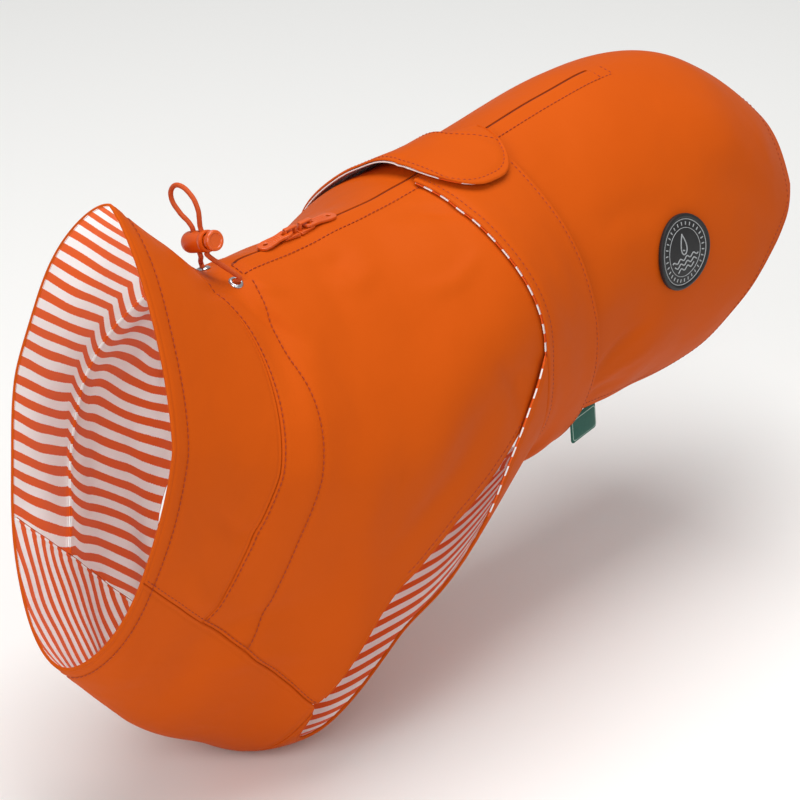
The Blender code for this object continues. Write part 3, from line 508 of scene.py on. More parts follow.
def slot_cells(at):
    """The cells between a panel's halves, left out where the zip slot is open."""
    left_out = np.zeros((at.shape[0] - 1, at.shape[1] - 1), bool)
    middle = at.shape[1] // 2 - 1
    left_out[:, middle] = (at[:-1, middle] >= ZIP_FRONT) & (at[1:, middle] <= ZIP_REAR)
    return left_out


def placket(at, share, start, end):
    """The folded cloth on the near side of the zip stands a little proud, up to its row of stitches."""
    arc = np.abs(share) * girth(at, share)
    inside = smooth((at - start) / 0.15) * smooth((end - at) / 0.15)
    near = 0.5 * np.exp(-((arc - 2.2) / 2.6) ** 2) - 0.6 * np.exp(-((arc - PLACKET_WIDTH) / 1.4) ** 2)
    far = 0.3 * np.exp(-((arc - 0.8) / 2.0) ** 2)
    return np.where(share < 0, near, far) * inside


saddle_rows, saddle_columns = distances(SADDLE_LENGTH, 2.5), distances(SADDLE_HALF, 2.5)
saddle_guess = np.r_[saddle_columns[::-1], saddle_columns]
start_at = np.interp(saddle_guess * COLLAR_SHARE, *neck_seam) + SEAM_GAP
saddle_at, saddle_share = over_back(start_at, BELT_REAR - SEAM_GAP, saddle_rows, saddle_columns, upper_front)
front_roll = seam_roll(saddle_rows * SADDLE_LENGTH)[:, None]
side_roll = seam_roll((1 - saddle_guess) * SADDLE_HALF)[None, :]
casing_at = np.interp(np.abs(saddle_share), *casing_line)
saddle_out = (front_roll + side_roll + placket(saddle_at, saddle_share, ZIP_FRONT, BELT_REAR + 0.2)
              - 0.6 * np.exp(-((saddle_at - casing_at) / 0.055) ** 2))
lay("saddle", SHELL, skin(saddle_at, saddle_share, saddle_out),
    left_out=slot_cells(saddle_at))

# ------------------------------------------------------------------ rear piece
# It carries on behind the belt over the loin and croup to the rounded hem, and holds the zip's rear end.
REAR_LENGTH, REAR_HALF = 230, 175
rear_rows, rear_columns = distances(REAR_LENGTH, 2.6), distances(REAR_HALF, 2.5)
rear_guess = np.r_[rear_columns[::-1], rear_columns]
rear_at, rear_share = over_back(np.full(len(rear_guess), BELT_REAR + SEAM_GAP), HEM, rear_rows, rear_columns,
                                upper_rear)
rear_out = (seam_roll((1 - rear_rows) * REAR_LENGTH)[:, None] + seam_roll((1 - rear_guess) * REAR_HALF)[None, :]
            + placket(rear_at, rear_share, BELT_REAR - 0.2, ZIP_REAR + 0.1))
lay("rear_panel", SHELL, skin(rear_at, rear_share, rear_out), left_out=slot_cells(rear_at))


# ------------------------------------------------------------------ chest and belly pieces
# One piece runs under the neck and chest; the belly piece passes between the front legs and is sewn to the
# belt, so towards the belt it rises to the belt's level.
# The last step up to the belt: the gap under it, its lining, the gap between, and its shell, in mm.
BELT_DROP, LINING_WALL, LINING_DROP, BELT_SHELL = 0.6, 1.0, 0.45, 1.2
CHEST_LENGTH, CHEST_HALF, BELLY_LENGTH, BELLY_HALF, STRAP_HALF = 150, 85, 130, 120, 90


def under_keel(start_at, end_at, rows, columns):
    """Stations and shares of a panel from the near cut line under the keel to the far one."""
    line = between(start_at, end_at, rows)
    near = -between(np.interp(line, *lower_front)[:, None] + SHARE_GAP, 1.0, columns[None, :])
    share = np.concatenate([near, -near[:, -2::-1]], axis=1)
    return line[:, None] + 0 * share, share


def belly_rise(at):
    return (BELT_DROP + LINING_WALL + LINING_DROP + BELT_SHELL) * smooth(at - (BELT_FRONT - 1))


def both_ways(columns):
    """Steps of one half, from its side edge to the keel, and back again."""
    return np.r_[columns, columns[-2::-1]][None, :]


chest_rows, chest_columns = distances(CHEST_LENGTH, 2.5), distances(CHEST_HALF, 2.5)
chest_at, chest_share = under_keel(0.0, LEG_FRONT - SEAM_GAP, chest_rows, chest_columns)
chest_side = both_ways(chest_columns) * CHEST_HALF
edge = np.minimum(edge_mm(chest_rows, CHEST_LENGTH)[:, None], chest_side)
lay("chest_panel", SHELL, skin(chest_at, chest_share, seam_roll(edge) + rim_row(chest_at)))

belly_rows, belly_columns = distances(BELLY_LENGTH, 2.4), distances(BELLY_HALF, 2.2)
belly_at, belly_share = under_keel(LEG_FRONT + SEAM_GAP, BELT_FRONT - SEAM_GAP, belly_rows, belly_columns)
edge = np.minimum(belly_rows[:, None] * BELLY_LENGTH, both_ways(belly_columns) * STRAP_HALF)
lay("belly_panel", SHELL, skin(belly_at, belly_share, belly_rise(belly_at) + seam_roll(edge)))

# ------------------------------------------------------------------ linings
# Light cotton, yarn dyed in even orange and off-white stripes 4.7 mm wide.  In the collar the stripes run from
# the rim inwards, in the body they run at a slant, and under the chest and belly they run nearly across.
STRIPE_PERIOD, PIPING_PERIOD = 9.5, 10.6
# The first orange stripe lies this far round from the back line, in mm.
FIRST_STRIPE, LINING_DEPTH = 144.5, 1.25
lining_cloth, shader = new_material("striped_cotton_lining")
stripe_place = add_node(lining_cloth, "ShaderNodeUVMap", uv_map="stripes")
split = add_node(lining_cloth, "ShaderNodeSeparateXYZ", {"Vector": stripe_place.outputs["UV"]})
thread_noise = add_node(lining_cloth, "ShaderNodeTexNoise", {
    "Vector": add_node(lining_cloth, "ShaderNodeTexCoord").outputs["Object"], "Scale": 900.0, "Detail": 2.0})
wander = add_node(lining_cloth, "ShaderNodeMath", {0: thread_noise.outputs["Fac"], 1: 0.05, 2: -0.025},
                  operation="MULTIPLY_ADD")
moved = add_node(lining_cloth, "ShaderNodeMath", {0: split.outputs["X"], 1: wander.outputs[0]}, operation="ADD")
wave = add_node(lining_cloth, "ShaderNodeMath", {0: moved.outputs[0], 1: 0.5}, operation="PINGPONG")
# Pingpong gives 0 in the middle of an orange stripe and 0.5 in the middle of a white one.
step = add_node(lining_cloth, "ShaderNodeMapRange", {"Value": wave.outputs[0], "From Min": 0.235,
                                                     "From Max": 0.255})
lining_mix = add_node(lining_cloth, "ShaderNodeMix", {"Factor": step.outputs[0], MIX_A: linear("#EA5C08"),
                                                      MIX_B: linear("#FCFCFC")}, data_type="RGBA")
# The cotton's 0.3 mm threads are drawn 0.9 mm apart, running with and across the stripes.
threads = add_node(lining_cloth, "ShaderNodeMapping", {"Vector": stripe_place.outputs["UV"],
                                                       "Scale": (STRIPE_PERIOD / 0.9, STRIPE_PERIOD / 0.9, 1)})
weave = add_node(lining_cloth, "ShaderNodeTexWave", {"Vector": threads.outputs[0], "Scale": 1.0,
                                                     "Distortion": 1.5, "Detail": 1.0}, bands_direction="X")
weave_bump = add_node(lining_cloth, "ShaderNodeBump", {"Height": weave.outputs["Fac"], "Strength": 0.15,
                                                       "Distance": 0.0002})
plug(shader, {"Base Color": lining_mix.outputs[MIX_RESULT], "Roughness": 0.85, "Specular IOR Level": 0.2,
              "Sheen Weight": 0.15, "Normal": weave_bump.outputs["Normal"]})
LINING = Fabric(lining_cloth, 0.6, "lining")


def stripe_uv(phase, cross):
    return np.stack([phase, cross / STRIPE_PERIOD], -1)


def slant(length):
    """How far the stripes have slipped round the body at a distance from the rim, in mm: the collar's stripes
    run a little upwards, and behind the neck seam they turn down."""
    return np.interp(length, [0, 62, 85, 500], [4, 0, 18, 275])


def waver(at, share, seed):
    """Where the loose lining has slipped, its stripes wander by a millimetre or so."""
    return ripple(at, share, seed) * 2.0


def tucked(at, share, start, end):
    """The lining dips under the zip tape along the spine."""
    near = np.exp(-(np.abs(share) * girth(at, share) / 16) ** 4)
    return -1.5 * near * smooth((at - start) / 0.35) * smooth((end - at) / 0.35)


def body_stripes(at, share):
    """Stripes that lie along the body at a slant."""
    length = looked_up(LENGTH, at, share)
    arc = np.abs(share) * girth(at, share)
    return stripe_uv((arc - slant(length) - FIRST_STRIPE + waver(at, share, 5)) / STRIPE_PERIOD, length)


def cross_stripes(at, share, seed):
    """Stripes nearly across the keel line; the distance from it is negative on the near side."""
    from_keel = np.where(share < 0, -1, 1) * (1 - np.abs(share)) * girth(at, share)
    length = looked_up(LENGTH, at, share)
    return stripe_uv((length + 0.42 * from_keel + 2 * waver(at, share, seed)) / 10.0, from_keel)


def line_with(node, at, share, out, stripes):
    """A lining, out mm outside the level at which it lies under the shell."""
    return lay(node, LINING, skin(at, share, out - LINING_DEPTH), stripes)


saddle_dip = (front_roll + side_roll * (1 - smooth((saddle_at - 4.7) / 0.3))
              + tucked(saddle_at, saddle_share, 1.9, 99))
chest_dip = seam_roll(np.minimum((1 - chest_rows)[:, None] * CHEST_LENGTH, chest_side))
linings = [
    line_with("collar_lining", collar_at, collar_share, seam_roll((1 - collar_rows) * COLLAR_DEPTH)[:, None],
              body_stripes(collar_at, collar_share)),
    line_with("saddle_lining", saddle_at, saddle_share, saddle_dip, body_stripes(saddle_at, saddle_share)),
    line_with("rear_lining", rear_at, rear_share, tucked(rear_at, rear_share, 0, 12.7),
              body_stripes(rear_at, rear_share)),
    line_with("chest_lining", chest_at, chest_share, chest_dip * smooth(chest_rows[:, None] * 30),
              cross_stripes(chest_at, chest_share, 8)),
    line_with("belly_lining", belly_at, belly_share, belly_rise(belly_at),
              cross_stripes(belly_at, belly_share, 9)),
]

# ------------------------------------------------------------------ belt and tab
# A lined band round the waist, sewn to the belly piece.  The near wing ends beside the spine, the far wing
# runs over it and closes with a rounded tab; the lining is rolled out along the front edge as a piping.
TAB_DROP, TAB_REACH, TAB_LENGTH, WING_TOP = 0.8, 33.0, 39, 6.0
BELT_LINING_OUT = BELT_DROP + LINING_WALL
BELT_OUT = BELT_LINING_OUT + LINING_DROP + BELT_SHELL
# Widths of the band on the near side and over the back, its length of one station, how far the lining stands
# before the shell and stays behind its other edges, and the row of stitches' distance from the front, in mm.
BAND_WIDTH, BACK_WIDTH, BAND_STATION, PIPING, INSET, BAND_STITCH = 54, 40, 27, 0.3, 1.6, 4.2
BAND_START, BAND_END = BELT_FRONT + SEAM_GAP, BELT_REAR - SEAM_GAP
# The far wing narrows towards the back at its front and rear edges, and its tab widens again, in stations.
NARROW_FRONT, NARROW_REAR, TAB_FLARE = 0.12, 0.40, 0.50
KEEL_SEAM = 0.9994
BELT_LINING = Fabric(lining_cloth, 0.55, "lining")


def band_profile(mm_from_front, mm_from_rear):
    """Turned edges, and the dip that the row of stitches beside the front edge makes."""
    nearest = np.minimum(mm_from_front, mm_from_rear)
    return (seam_roll(nearest) + 0.18 * np.exp(-((mm_from_front - 2.3) / 1.2) ** 2)
            - 0.5 * np.exp(-((mm_from_front - BAND_STITCH) / 1.0) ** 2))


def piping_rise(mm_from_front):
    """The lining stands up a little where it is rolled out before the shell."""
    return BELT_LINING_OUT + 0.2 * np.exp(-(mm_from_front / 1.6) ** 2)


band_rows = distances(BAND_WIDTH, 2.2)
near_steps = distances(270, 2.4)


def near_band(out, front, inset=0.0):
    """Grid of the near wing, from beside the spine to the keel, inset in mm at the top and rear edges."""
    at = between(BAND_START + front / BAND_STATION, BAND_END - inset / BAND_STATION, band_rows)[:, None]
    at = at + 0 * near_steps[None, :]
    share = -between((WING_TOP + inset) / girth(at, -1 + 0 * at), KEEL_SEAM, near_steps[None, :])
    return skin(at, share, out), at, share


rows_mm = (band_rows * BAND_WIDTH)[:, None]
near_points, near_at, near_share = near_band(BELT_OUT + band_profile(rows_mm, BAND_WIDTH - rows_mm), PIPING)
lay("belt_near", SHELL, near_points)
piping_points, piping_at, piping_share = near_band(piping_rise(rows_mm), 0.0, INSET)
arc = np.abs(piping_share) * girth(piping_at, piping_share)
lay("belt_near_lining", BELT_LINING, piping_points,
    stripe_uv((arc + piping_at * 4) / PIPING_PERIOD, piping_at * BAND_STATION))


def tab_reach(share):
    """How far the tab reaches down the near side, at a share of its width: its end is rounded."""
    return TAB_REACH * (1 - np.abs(2 * share - 1) ** 3) ** (1 / 2.2)


def wing_lift(at, arc):
    """The far wing climbs over the near wing's end, and its front edge stands off the back."""
    climb = (BELT_OUT + TAB_DROP) * smooth((38 - arc) / 28)
    front = 1 - smooth((at - BELT_FRONT) / 1.3)
    return climb + 3.0 * front * np.exp(-((arc - 32) / 26) ** 2)


flank_arcs = np.linspace(262, 8, 108)
tab_steps = distances(TAB_LENGTH, 1.6)


def far_band(out, front, inset=0.0):
    """Grid of the far wing, from the keel up the far flank, over the back and down to the tab's end."""
    across = between(front / BAND_WIDTH, 1.0 - inset / BACK_WIDTH, band_rows)[:, None]
    narrow = smooth((75 - flank_arcs) / 45)[None, :]
    flank_at = between(BAND_START + NARROW_FRONT * narrow, BAND_END - NARROW_REAR * narrow, across)
    flank_share = np.minimum(share_at(flank_at, flank_arcs[None, :]), KEEL_SEAM)
    flank_share = between(flank_share, KEEL_SEAM, smooth((flank_arcs[None, :] - 235) / 27))
    tab_at = between(BAND_START + NARROW_FRONT,
                     BAND_END - NARROW_REAR + TAB_FLARE * smooth(tab_steps)[None, :], across)
    tab_arc = between(6.0, inset - tab_reach(across), tab_steps[None, :])
    at = np.concatenate([flank_at, tab_at], axis=1)
    share = np.concatenate([flank_share, share_at(tab_at, tab_arc)], axis=1)
    arc = np.concatenate([flank_arcs[None, :] + 0 * flank_at, 0 * tab_arc], axis=1)
    return skin(at, share, out + wing_lift(at, arc) - 1.6 * smooth((at - 9.7) / 0.4)), at, share


# Along the flanks the wing has no end, so its distance from one is set well past the turned edge.
from_end = np.concatenate([np.full(len(flank_arcs), 50.0), (1 - tab_steps) * TAB_LENGTH])[None, :]
rows_mm = (band_rows * BACK_WIDTH)[:, None]
far_points, far_at, far_share = far_band(
    BELT_OUT + band_profile(np.minimum(rows_mm, from_end), BACK_WIDTH - rows_mm), PIPING)
lay("belt_far", SHELL, far_points)
piping_points, piping_at, piping_share = far_band(piping_rise(rows_mm), 0.0, INSET)
lay("belt_far_lining", BELT_LINING, piping_points,
    stripe_uv((rows_mm - 4.5 + 0 * piping_at) / STRIPE_PERIOD, piping_share * 300))

# ------------------------------------------------------------------ turned edges
# The shell is folded round the edge of the lining at the neck opening, the leg openings and the rear hem, and
# shows inside the coat as a narrow plain band.
def unit(vectors):
    return vectors / np.linalg.norm(vectors, axis=-1, keepdims=True)


def evenly(points, step, *tables):
    """A line of points in mm, and tables of values along it, resampled at even steps."""
    length = np.r_[0, np.cumsum(np.linalg.norm(np.diff(points, axis=0), axis=1))]
    even = np.linspace(0, length[-1], max(2, round(length[-1] / step)) + 1)
    return [np.stack([np.interp(even, length, column) for column in np.reshape(table, (len(table), -1)).T], -1)
            for table in (points,) + tables]


def cloth_line(line, out=0.0, step=1.5):
    """Points on the cloth along a line of (station, share), and the cloth's normals there."""
    line = np.array(line, float)
    dense = np.linspace(0, len(line) - 1, 12 * len(line))
    at, share = (np.interp(dense, range(len(line)), line[:, axis]) for axis in (0, 1))
    at, share = (table[:, 0] for table in evenly(bare(at, share), step, at, share)[1:])
    return skin(at, share, out), looked_up(OUTWARD, at, share)


def cut_line(ats, curve, side, inset=0.0):
    """Line of (station, share) beside a cut edge, inset in mm from it."""
    return np.stack([ats, side * (np.interp(ats, *curve) - share_at(ats, inset))], -1)


def round_line(shares, curve, side, behind=0.0):
    """Line of (station, share) down one side from the back, a part of a station behind a curve."""
    return np.stack([np.interp(shares, *curve) + behind, side * shares], -1)


def face_outward(mesh, open_ends=False):
    """Close a mesh's open ends, if it has any, and turn its faces outward."""
    edit = bmesh.new()
    edit.from_mesh(mesh)
    if open_ends:
        bmesh.ops.holes_fill(edit, edges=edit.edges)
    bmesh.ops.recalc_face_normals(edit, faces=edit.faces)
    edit.to_mesh(mesh)
    edit.free()
    mesh.shade_smooth()


def between_rings(rows, sides, closed=False):
    """Faces between rings of points, one after another, with a cap at each end unless the last meets the first."""
    number = np.arange(rows * sides).reshape(rows, sides)
    here, ahead = (number, np.roll(number, -1, 0)) if closed else (number[:-1], number[1:])
    quads = np.stack([here, np.roll(here, -1, 1), np.roll(ahead, -1, 1), ahead], -1).reshape(-1, 4)
    return list(quads) if closed else list(quads) + [number[0][::-1], number[-1]]


def tube(name, points, normals, thick, wide, material, closed=False, sides=10, relief=None, stripe=None):
    """Rolled edge or cord: an oval, thick along the normals and wide across them, swept along points in mm."""
    ahead = np.roll(points, -1, 0) if closed else np.r_[points[1:], points[-1:]]
    behind = np.roll(points, 1, 0) if closed else np.r_[points[:1], points[:-1]]
    forward = unit(ahead - behind)
    side = unit(np.cross(forward, normals))
    up = np.cross(side, forward)
    turn = np.arange(sides) * 2 * math.pi / sides
    swell_by = 1.0 if relief is None else relief(np.arange(len(points))[:, None], turn[None, :])[..., None]
    ring = (up[:, None] * (thick * np.cos(turn))[None, :, None]
            + side[:, None] * (wide * np.sin(turn))[None, :, None])
    piece = mesh_object(name, points[:, None] + ring * swell_by, between_rings(len(points), sides, closed),
                        material)
    face_outward(piece.data)
    if stripe is not None:
        length = np.r_[0, np.cumsum(np.linalg.norm(np.diff(points, axis=0), axis=1))]
        add_stripes(piece.data, np.repeat(stripe_uv(length / stripe, length), sides, axis=0))
    return piece


def joined(name, pieces):
    """Several pieces of one thing in one mesh."""
    select_only(pieces[0])
    for piece in pieces[1:]:
        piece.select_set(True)
    bpy.ops.object.join()
    pieces[0].name = name
    return pieces[0]


def trim(name, pieces):
    """Small things of one kind, joined, that the coat carries besides its solids."""
    piece = joined(name, pieces)
    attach(piece, "coat")


FOLD_DEPTH, HEM_AT = 1.05, 14.985


def folded_edge(line, out=0.0):
    """Where the shell's cloth is rolled under along a line."""
    return cloth_line(line, out - FOLD_DEPTH, 2.0)


rims = [folded_edge([(0.01, low), (0.01, high)]) for low, high in ((-0.9995, -0.0005), (0.0005, 0.9995))]
edge_rolls = [tube("rim_fold", *(np.concatenate(halves) for halves in zip(*rims)), 0.85, 0.8, rain_cloth,
                   closed=True)]
piped = []
leg_ats, hem_ats = np.linspace(4.93, 9.98, 60), np.linspace(10.02, HEM_AT, 60)
strap_ats = np.linspace(4.93, 7.96, 100)
for side in (-1, 1):
    hem = cut_line(hem_ats, upper_rear, side)
    hem_end = np.stack([np.full(30, HEM_AT), side * np.linspace(abs(hem[-1, 1]), 0.0003, 30)], -1)
    for line in (cut_line(leg_ats, upper_front, side), np.concatenate([hem, hem_end])):
        edge_rolls.append(tube("leg_or_hem_fold", *folded_edge(line), 0.85, 0.75, rain_cloth))
    # The strap's edge rises with it to the belt, and its last part is piped like the belt.
    line = cut_line(strap_ats, lower_front, side)
    points, normals = cloth_line(line, 0.0, 2.0)
    reached = evenly(bare(strap_ats, line[:, 1]), 2.0, strap_ats)[1][:, 0]
    lift = np.interp(np.linspace(0, 1, len(points)), np.linspace(0, 1, len(reached)), belly_rise(reached))
    edge_rolls.append(tube("strap_fold", points + normals * (lift - FOLD_DEPTH)[:, None], normals, 0.85, 0.75,
                           rain_cloth))
    wing = int(np.interp(7.30, reached, np.linspace(0, len(points) - 1, len(reached))))
    piped.append(tube("wing_piping", (points + normals * (lift - 0.9)[:, None])[wing:], normals[wing:], 0.5,
                      1.25, lining_cloth, stripe=PIPING_PERIOD))
# Under each seam lie the two pieces' turned-in edges, which close it from below.
chest_seam, waist_seam = np.linspace(0.1, 4.88, 60), np.linspace(0.02, 0.58, 40)
for side in (-1, 1):
    for line in (cut_line(chest_seam, upper_front, side),
                 round_line(np.linspace(0.004, 0.69, 50), neck_seam, side),
                 np.stack([np.full(40, BELT_REAR), side * waist_seam], -1)):
        edge_rolls.append(tube("seam_allowance", *folded_edge(line, -0.5), 0.35, 1.0, rain_cloth))
trim("folded_edges", edge_rolls)
trim("belly_piping", piped)

# ------------------------------------------------------------------ stitching
# Orange polyester thread, three stitches to the centimetre, coloured darker than the cloth as painted shade along
# the seams.  Rows run beside each seam, along the cord casing, beside the zip and round the tab.
def small_part(name, light, dark, scale, roughness, bump, coat=0.0):
    """Material of a small part: two close tones, uneven gloss and a fine surface, from noise at its own scale."""
    made, principled = new_material(name)
    where = add_node(made, "ShaderNodeTexCoord").outputs["Object"]
    noise = add_node(made, "ShaderNodeTexNoise", {"Vector": where, "Scale": scale, "Detail": 3.0}).outputs["Fac"]
    tones = add_node(made, "ShaderNodeMix", {"Factor": noise, MIX_A: linear(light), MIX_B: linear(dark)},
                     data_type="RGBA")
    uneven = add_node(made, "ShaderNodeMapRange", {"Value": noise, "To Min": roughness - 0.06,
                                                   "To Max": roughness + 0.08})
    fine = add_node(made, "ShaderNodeBump", {"Height": noise, "Strength": bump, "Distance": 0.0003})
    plug(principled, {"Base Color": tones.outputs[MIX_RESULT], "Roughness": uneven.outputs[0],
                      "Normal": fine.outputs["Normal"], "Coat Weight": coat})
    return made


# The thread's two tones are darker than the cloth: painted shade along the seams and rows, on top of the thread's
# own orange.
thread = small_part("orange_thread_darkened_as_painted_seam_shade", "#A23206", "#902804", 400.0, 0.6, 0.2)
STITCH_PITCH, STITCH_FILL, THREAD_RADIUS, THREAD_SIDES = 3.0, 0.78, 0.24, 6
HEM_STITCH, HEM_FOLD = 14.72, 6.5
stitch_points, stitch_faces = [], []


def sew(points, normals):
    """A row of stitches along points on a cloth's face: each dash of thread sinks in at both ends."""
    points, normals = evenly(points, 0.5, normals)
    length = np.arange(len(points)) * 0.5
    count = int(length[-1] / STITCH_PITCH)
    along = np.array([-1, -0.8, 0, 0.8, 1])
    where = ((np.arange(count) + 0.5) * STITCH_PITCH)[:, None] + along * STITCH_PITCH * STITCH_FILL / 2
    centre = np.stack([np.interp(where, length, points[:, axis]) for axis in range(3)], -1)
    up = unit(np.stack([np.interp(where, length, normals[:, axis]) for axis in range(3)], -1))
    side = unit(np.cross(unit(centre[:, -1] - centre[:, 0])[:, None], up))
    turn = np.arange(THREAD_SIDES) * 2 * math.pi / THREAD_SIDES
    radius = (THREAD_RADIUS * np.sqrt(1 - (0.94 * along) ** 2))[None, :, None, None]
    height = (0.16 - 0.34 * along ** 2)[None, :, None]
    grid = ((centre + up * height)[:, :, None] + up[:, :, None] * np.cos(turn)[:, None] * radius
            + side[:, :, None] * np.sin(turn)[:, None] * radius)
    number = np.arange(grid.size // 3).reshape(grid.shape[:3]) + sum(len(block) for block in stitch_points)
    here, ahead = number[:, :-1], number[:, 1:]
    stitch_points.append(grid.reshape(-1, 3))
    stitch_faces.append(np.stack([here, np.roll(here, -1, 2), np.roll(ahead, -1, 2), ahead], -1).reshape(-1, 4))


def sewn(name):
    """All rows sewn since the last call, as one piece."""
    piece = mesh_object(name, np.concatenate(stitch_points), np.concatenate(stitch_faces), thread)
    face_outward(piece.data, open_ends=True)
    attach(piece, "coat")
    stitch_points.clear()
    stitch_faces.clear()


hem_corner = np.interp(HEM_STITCH, *upper_rear) - float(share_at(HEM_STITCH, HEM_FOLD))
for side in (-1, 1):
    for line in (round_line(np.linspace(0.05, 0.70, 60), neck_seam, side, 0.062),
                 round_line(np.linspace(0.05, 0.722, 60), casing_line, side),
                 cut_line(np.linspace(0.08, 4.85, 60), upper_front, side, 2.2),
                 cut_line(np.linspace(10.2, HEM_STITCH, 60), upper_rear, side, HEM_FOLD),
                 cut_line(np.linspace(5.6, 7.9, 50), upper_front, side, 6.0),
                 [(HEM_STITCH, side * share) for share in np.linspace(0.0004, hem_corner, 20)]):
        sew(*cloth_line(line))
for low, high in ((-0.9990, -0.0005), (0.0005, 0.9990)):
    sew(*cloth_line([(RIM_STITCH, share) for share in np.linspace(low, high, 40)]))
zip_ats = np.linspace(ZIP_FRONT - 0.02, ZIP_REAR + 0.2, 90)
sew(*cloth_line(np.stack([zip_ats, share_at(zip_ats, -PLACKET_WIDTH)], -1)))
for at in (ZIP_FRONT - 0.04, ZIP_REAR + 0.02, ZIP_REAR + 0.2):
    sew(*cloth_line([(at, -0.0004), (at, share_at(at, -PLACKET_WIDTH))]))
sewn("body_stitches")

# The belt's rows follow its grid: along both edges, and on the far wing round the tab as well.
row_from_front, row_from_rear = (int(np.argmin(np.abs(band_rows * BAND_WIDTH - mm))) for mm in (BAND_STITCH, 51.6))
for row in (row_from_front, row_from_rear):
    sew(near_points[row], looked_up(OUTWARD, near_at[row], near_share[row]))
tab_column = len(flank_arcs) + int(np.argmin(np.abs((1 - tab_steps) * TAB_LENGTH - 4.0)))
path = [(row_from_front, column) for column in range(4, tab_column)]
path += [(row, tab_column) for row in range(row_from_front, row_from_rear)]
path += [(row_from_rear, column) for column in range(tab_column, 3, -1)]
path_rows, path_columns = np.array(path).T
sew(far_points[path_rows, path_columns], looked_up(OUTWARD, far_at, far_share)[path_rows, path_columns])
sewn("belt_stitches")

# ------------------------------------------------------------------ zip
# A narrow nylon coil zip on a woven tape under the back seam.  Two sliders meet head to head near the front, so
# a lead can pass between them, and each has a moulded pull tab.
tape_twill = small_part("zip_tape_twill", "#D2480C", "#B83A04", 500.0, 0.8, 0.3)
tape_arcs = np.array([-8.6, -6, -3.5, -1.6, -0.8, 0.8, 1.6, 3.5, 6, 8.6])
tape_at = np.linspace(2.32, 12.28, 150)[:, None] + 0 * tape_arcs[None, :]
lay("zip_tape", Fabric(tape_twill, 0.5, "cloth"), skin(tape_at, share_at(tape_at, tape_arcs[None, :]), -1.15))

# The coil is coloured far darker than its tape: painted shade of the narrow slot along the spine.
nylon = small_part("zip_coil_nylon_painted_slot_shade", "#7A2204", "#641A02", 300.0, 0.45, 0.1)
COIL_DEPTH, COIL_PITCH, COIL_OFFSET = 0.62, 0.95, 0.14
bpy.ops.object.select_all(action="DESELECT")
bpy.ops.mesh.primitive_cube_add(size=1)
tooth = bpy.context.object
bpy.ops.object.mode_set(mode="EDIT")
bpy.ops.transform.resize(value=(0.78 * MM, 1.5 * MM, 0.9 * MM))
bpy.ops.mesh.bevel(offset=0.16 * MM, segments=1)
bpy.ops.object.mode_set(mode="OBJECT")
tooth.data.materials.append(nylon)
coil_path, coil_normals = cloth_line([(2.66, 0.0003), (7.0, 0.0003), (11.98, 0.0003)], -COIL_DEPTH, COIL_PITCH)
teeth = []
for index in range(len(coil_path) - 1):
    forward = unit(coil_path[index + 1] - coil_path[index])
    left = unit(np.cross(coil_normals[index], forward))
    spot = coil_path[index] + left * (COIL_OFFSET if index % 2 else -COIL_OFFSET)
    turn = Matrix((forward, left, np.cross(forward, left))).transposed().to_4x4()
    copy = tooth.copy()
    copy.data = tooth.data.copy()
    copy.data.transform(Matrix.Translation(Vector(spot * MM)) @ turn)
    bpy.context.scene.collection.objects.link(copy)
    teeth.append(copy)
bpy.data.objects.remove(tooth)
trim("zip_coil", teeth)

moulded_plastic = small_part("moulded_orange_plastic", "#DA5A0E", "#CE500A", 60.0, 0.34, 0.05, coat=0.15)


def cube(size, centre, bevel, segments=3):
    """Rounded block of a size in mm round a centre in mm."""
    bpy.ops.object.select_all(action="DESELECT")
    bpy.ops.mesh.primitive_cube_add(size=1)
    piece = bpy.context.object
    bpy.ops.object.mode_set(mode="EDIT")
    bpy.ops.transform.resize(value=Vector(size) * MM)
    bpy.ops.transform.translate(value=Vector(centre) * MM)
    bpy.ops.mesh.bevel(offset=bevel * MM, segments=segments)
    bpy.ops.object.mode_set(mode="OBJECT")
    return piece


def finish_part(piece, place, material, body, *nodes, slot="plastic"):
    """Put a finished small part in its place: the place goes into its mesh."""
    piece.data.materials.clear()
    piece.data.materials.append(material)
    piece.data.transform(place)
    select_only(piece)
    bpy.ops.object.mode_set(mode="EDIT")
    bpy.ops.mesh.select_all(action="SELECT")
    bpy.ops.mesh.normals_make_consistent(inside=False)
    bpy.ops.object.mode_set(mode="OBJECT")
    bpy.ops.object.shade_smooth_by_angle(angle=math.radians(38))
    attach(piece, body)
    if nodes:
        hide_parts(*nodes)
    return piece


def back_height(x):
    """Height of the back line at a place along it, in mm."""
    points = bare(np.linspace(ZIP_FRONT, BELT_FRONT, 60), 0.003)
    return float(np.interp(x, points[:, 0], points[:, 2]))


def pull_outline():
    """Outline of a pull tab in mm: narrow behind the hinge, widest near its tip, which is round past a shoulder."""
    root, shoulder, tip = -0.9, 17, 20.2
    steps, halves = [root, 0.2, 2.5, 5.5, 8.5, 12.0, 15.0, 17.2], [1.9, 2.7, 3.0, 2.55, 2.5, 3.0, 3.3, 3.1]
    straight = np.linspace(root, shoulder, 24)
    rounded = shoulder + (tip - shoulder) * np.sin(np.linspace(0.15, math.pi / 2, 9))
    half = np.interp(straight, steps, halves)
    half = np.r_[half, half[-1] * np.sqrt(1 - ((rounded - shoulder) / (tip - shoulder)) ** 2)]
    fine = np.r_[straight, rounded]
    return list(zip(fine, -half)) + list(zip(fine[::-1][1:], half[::-1][1:]))


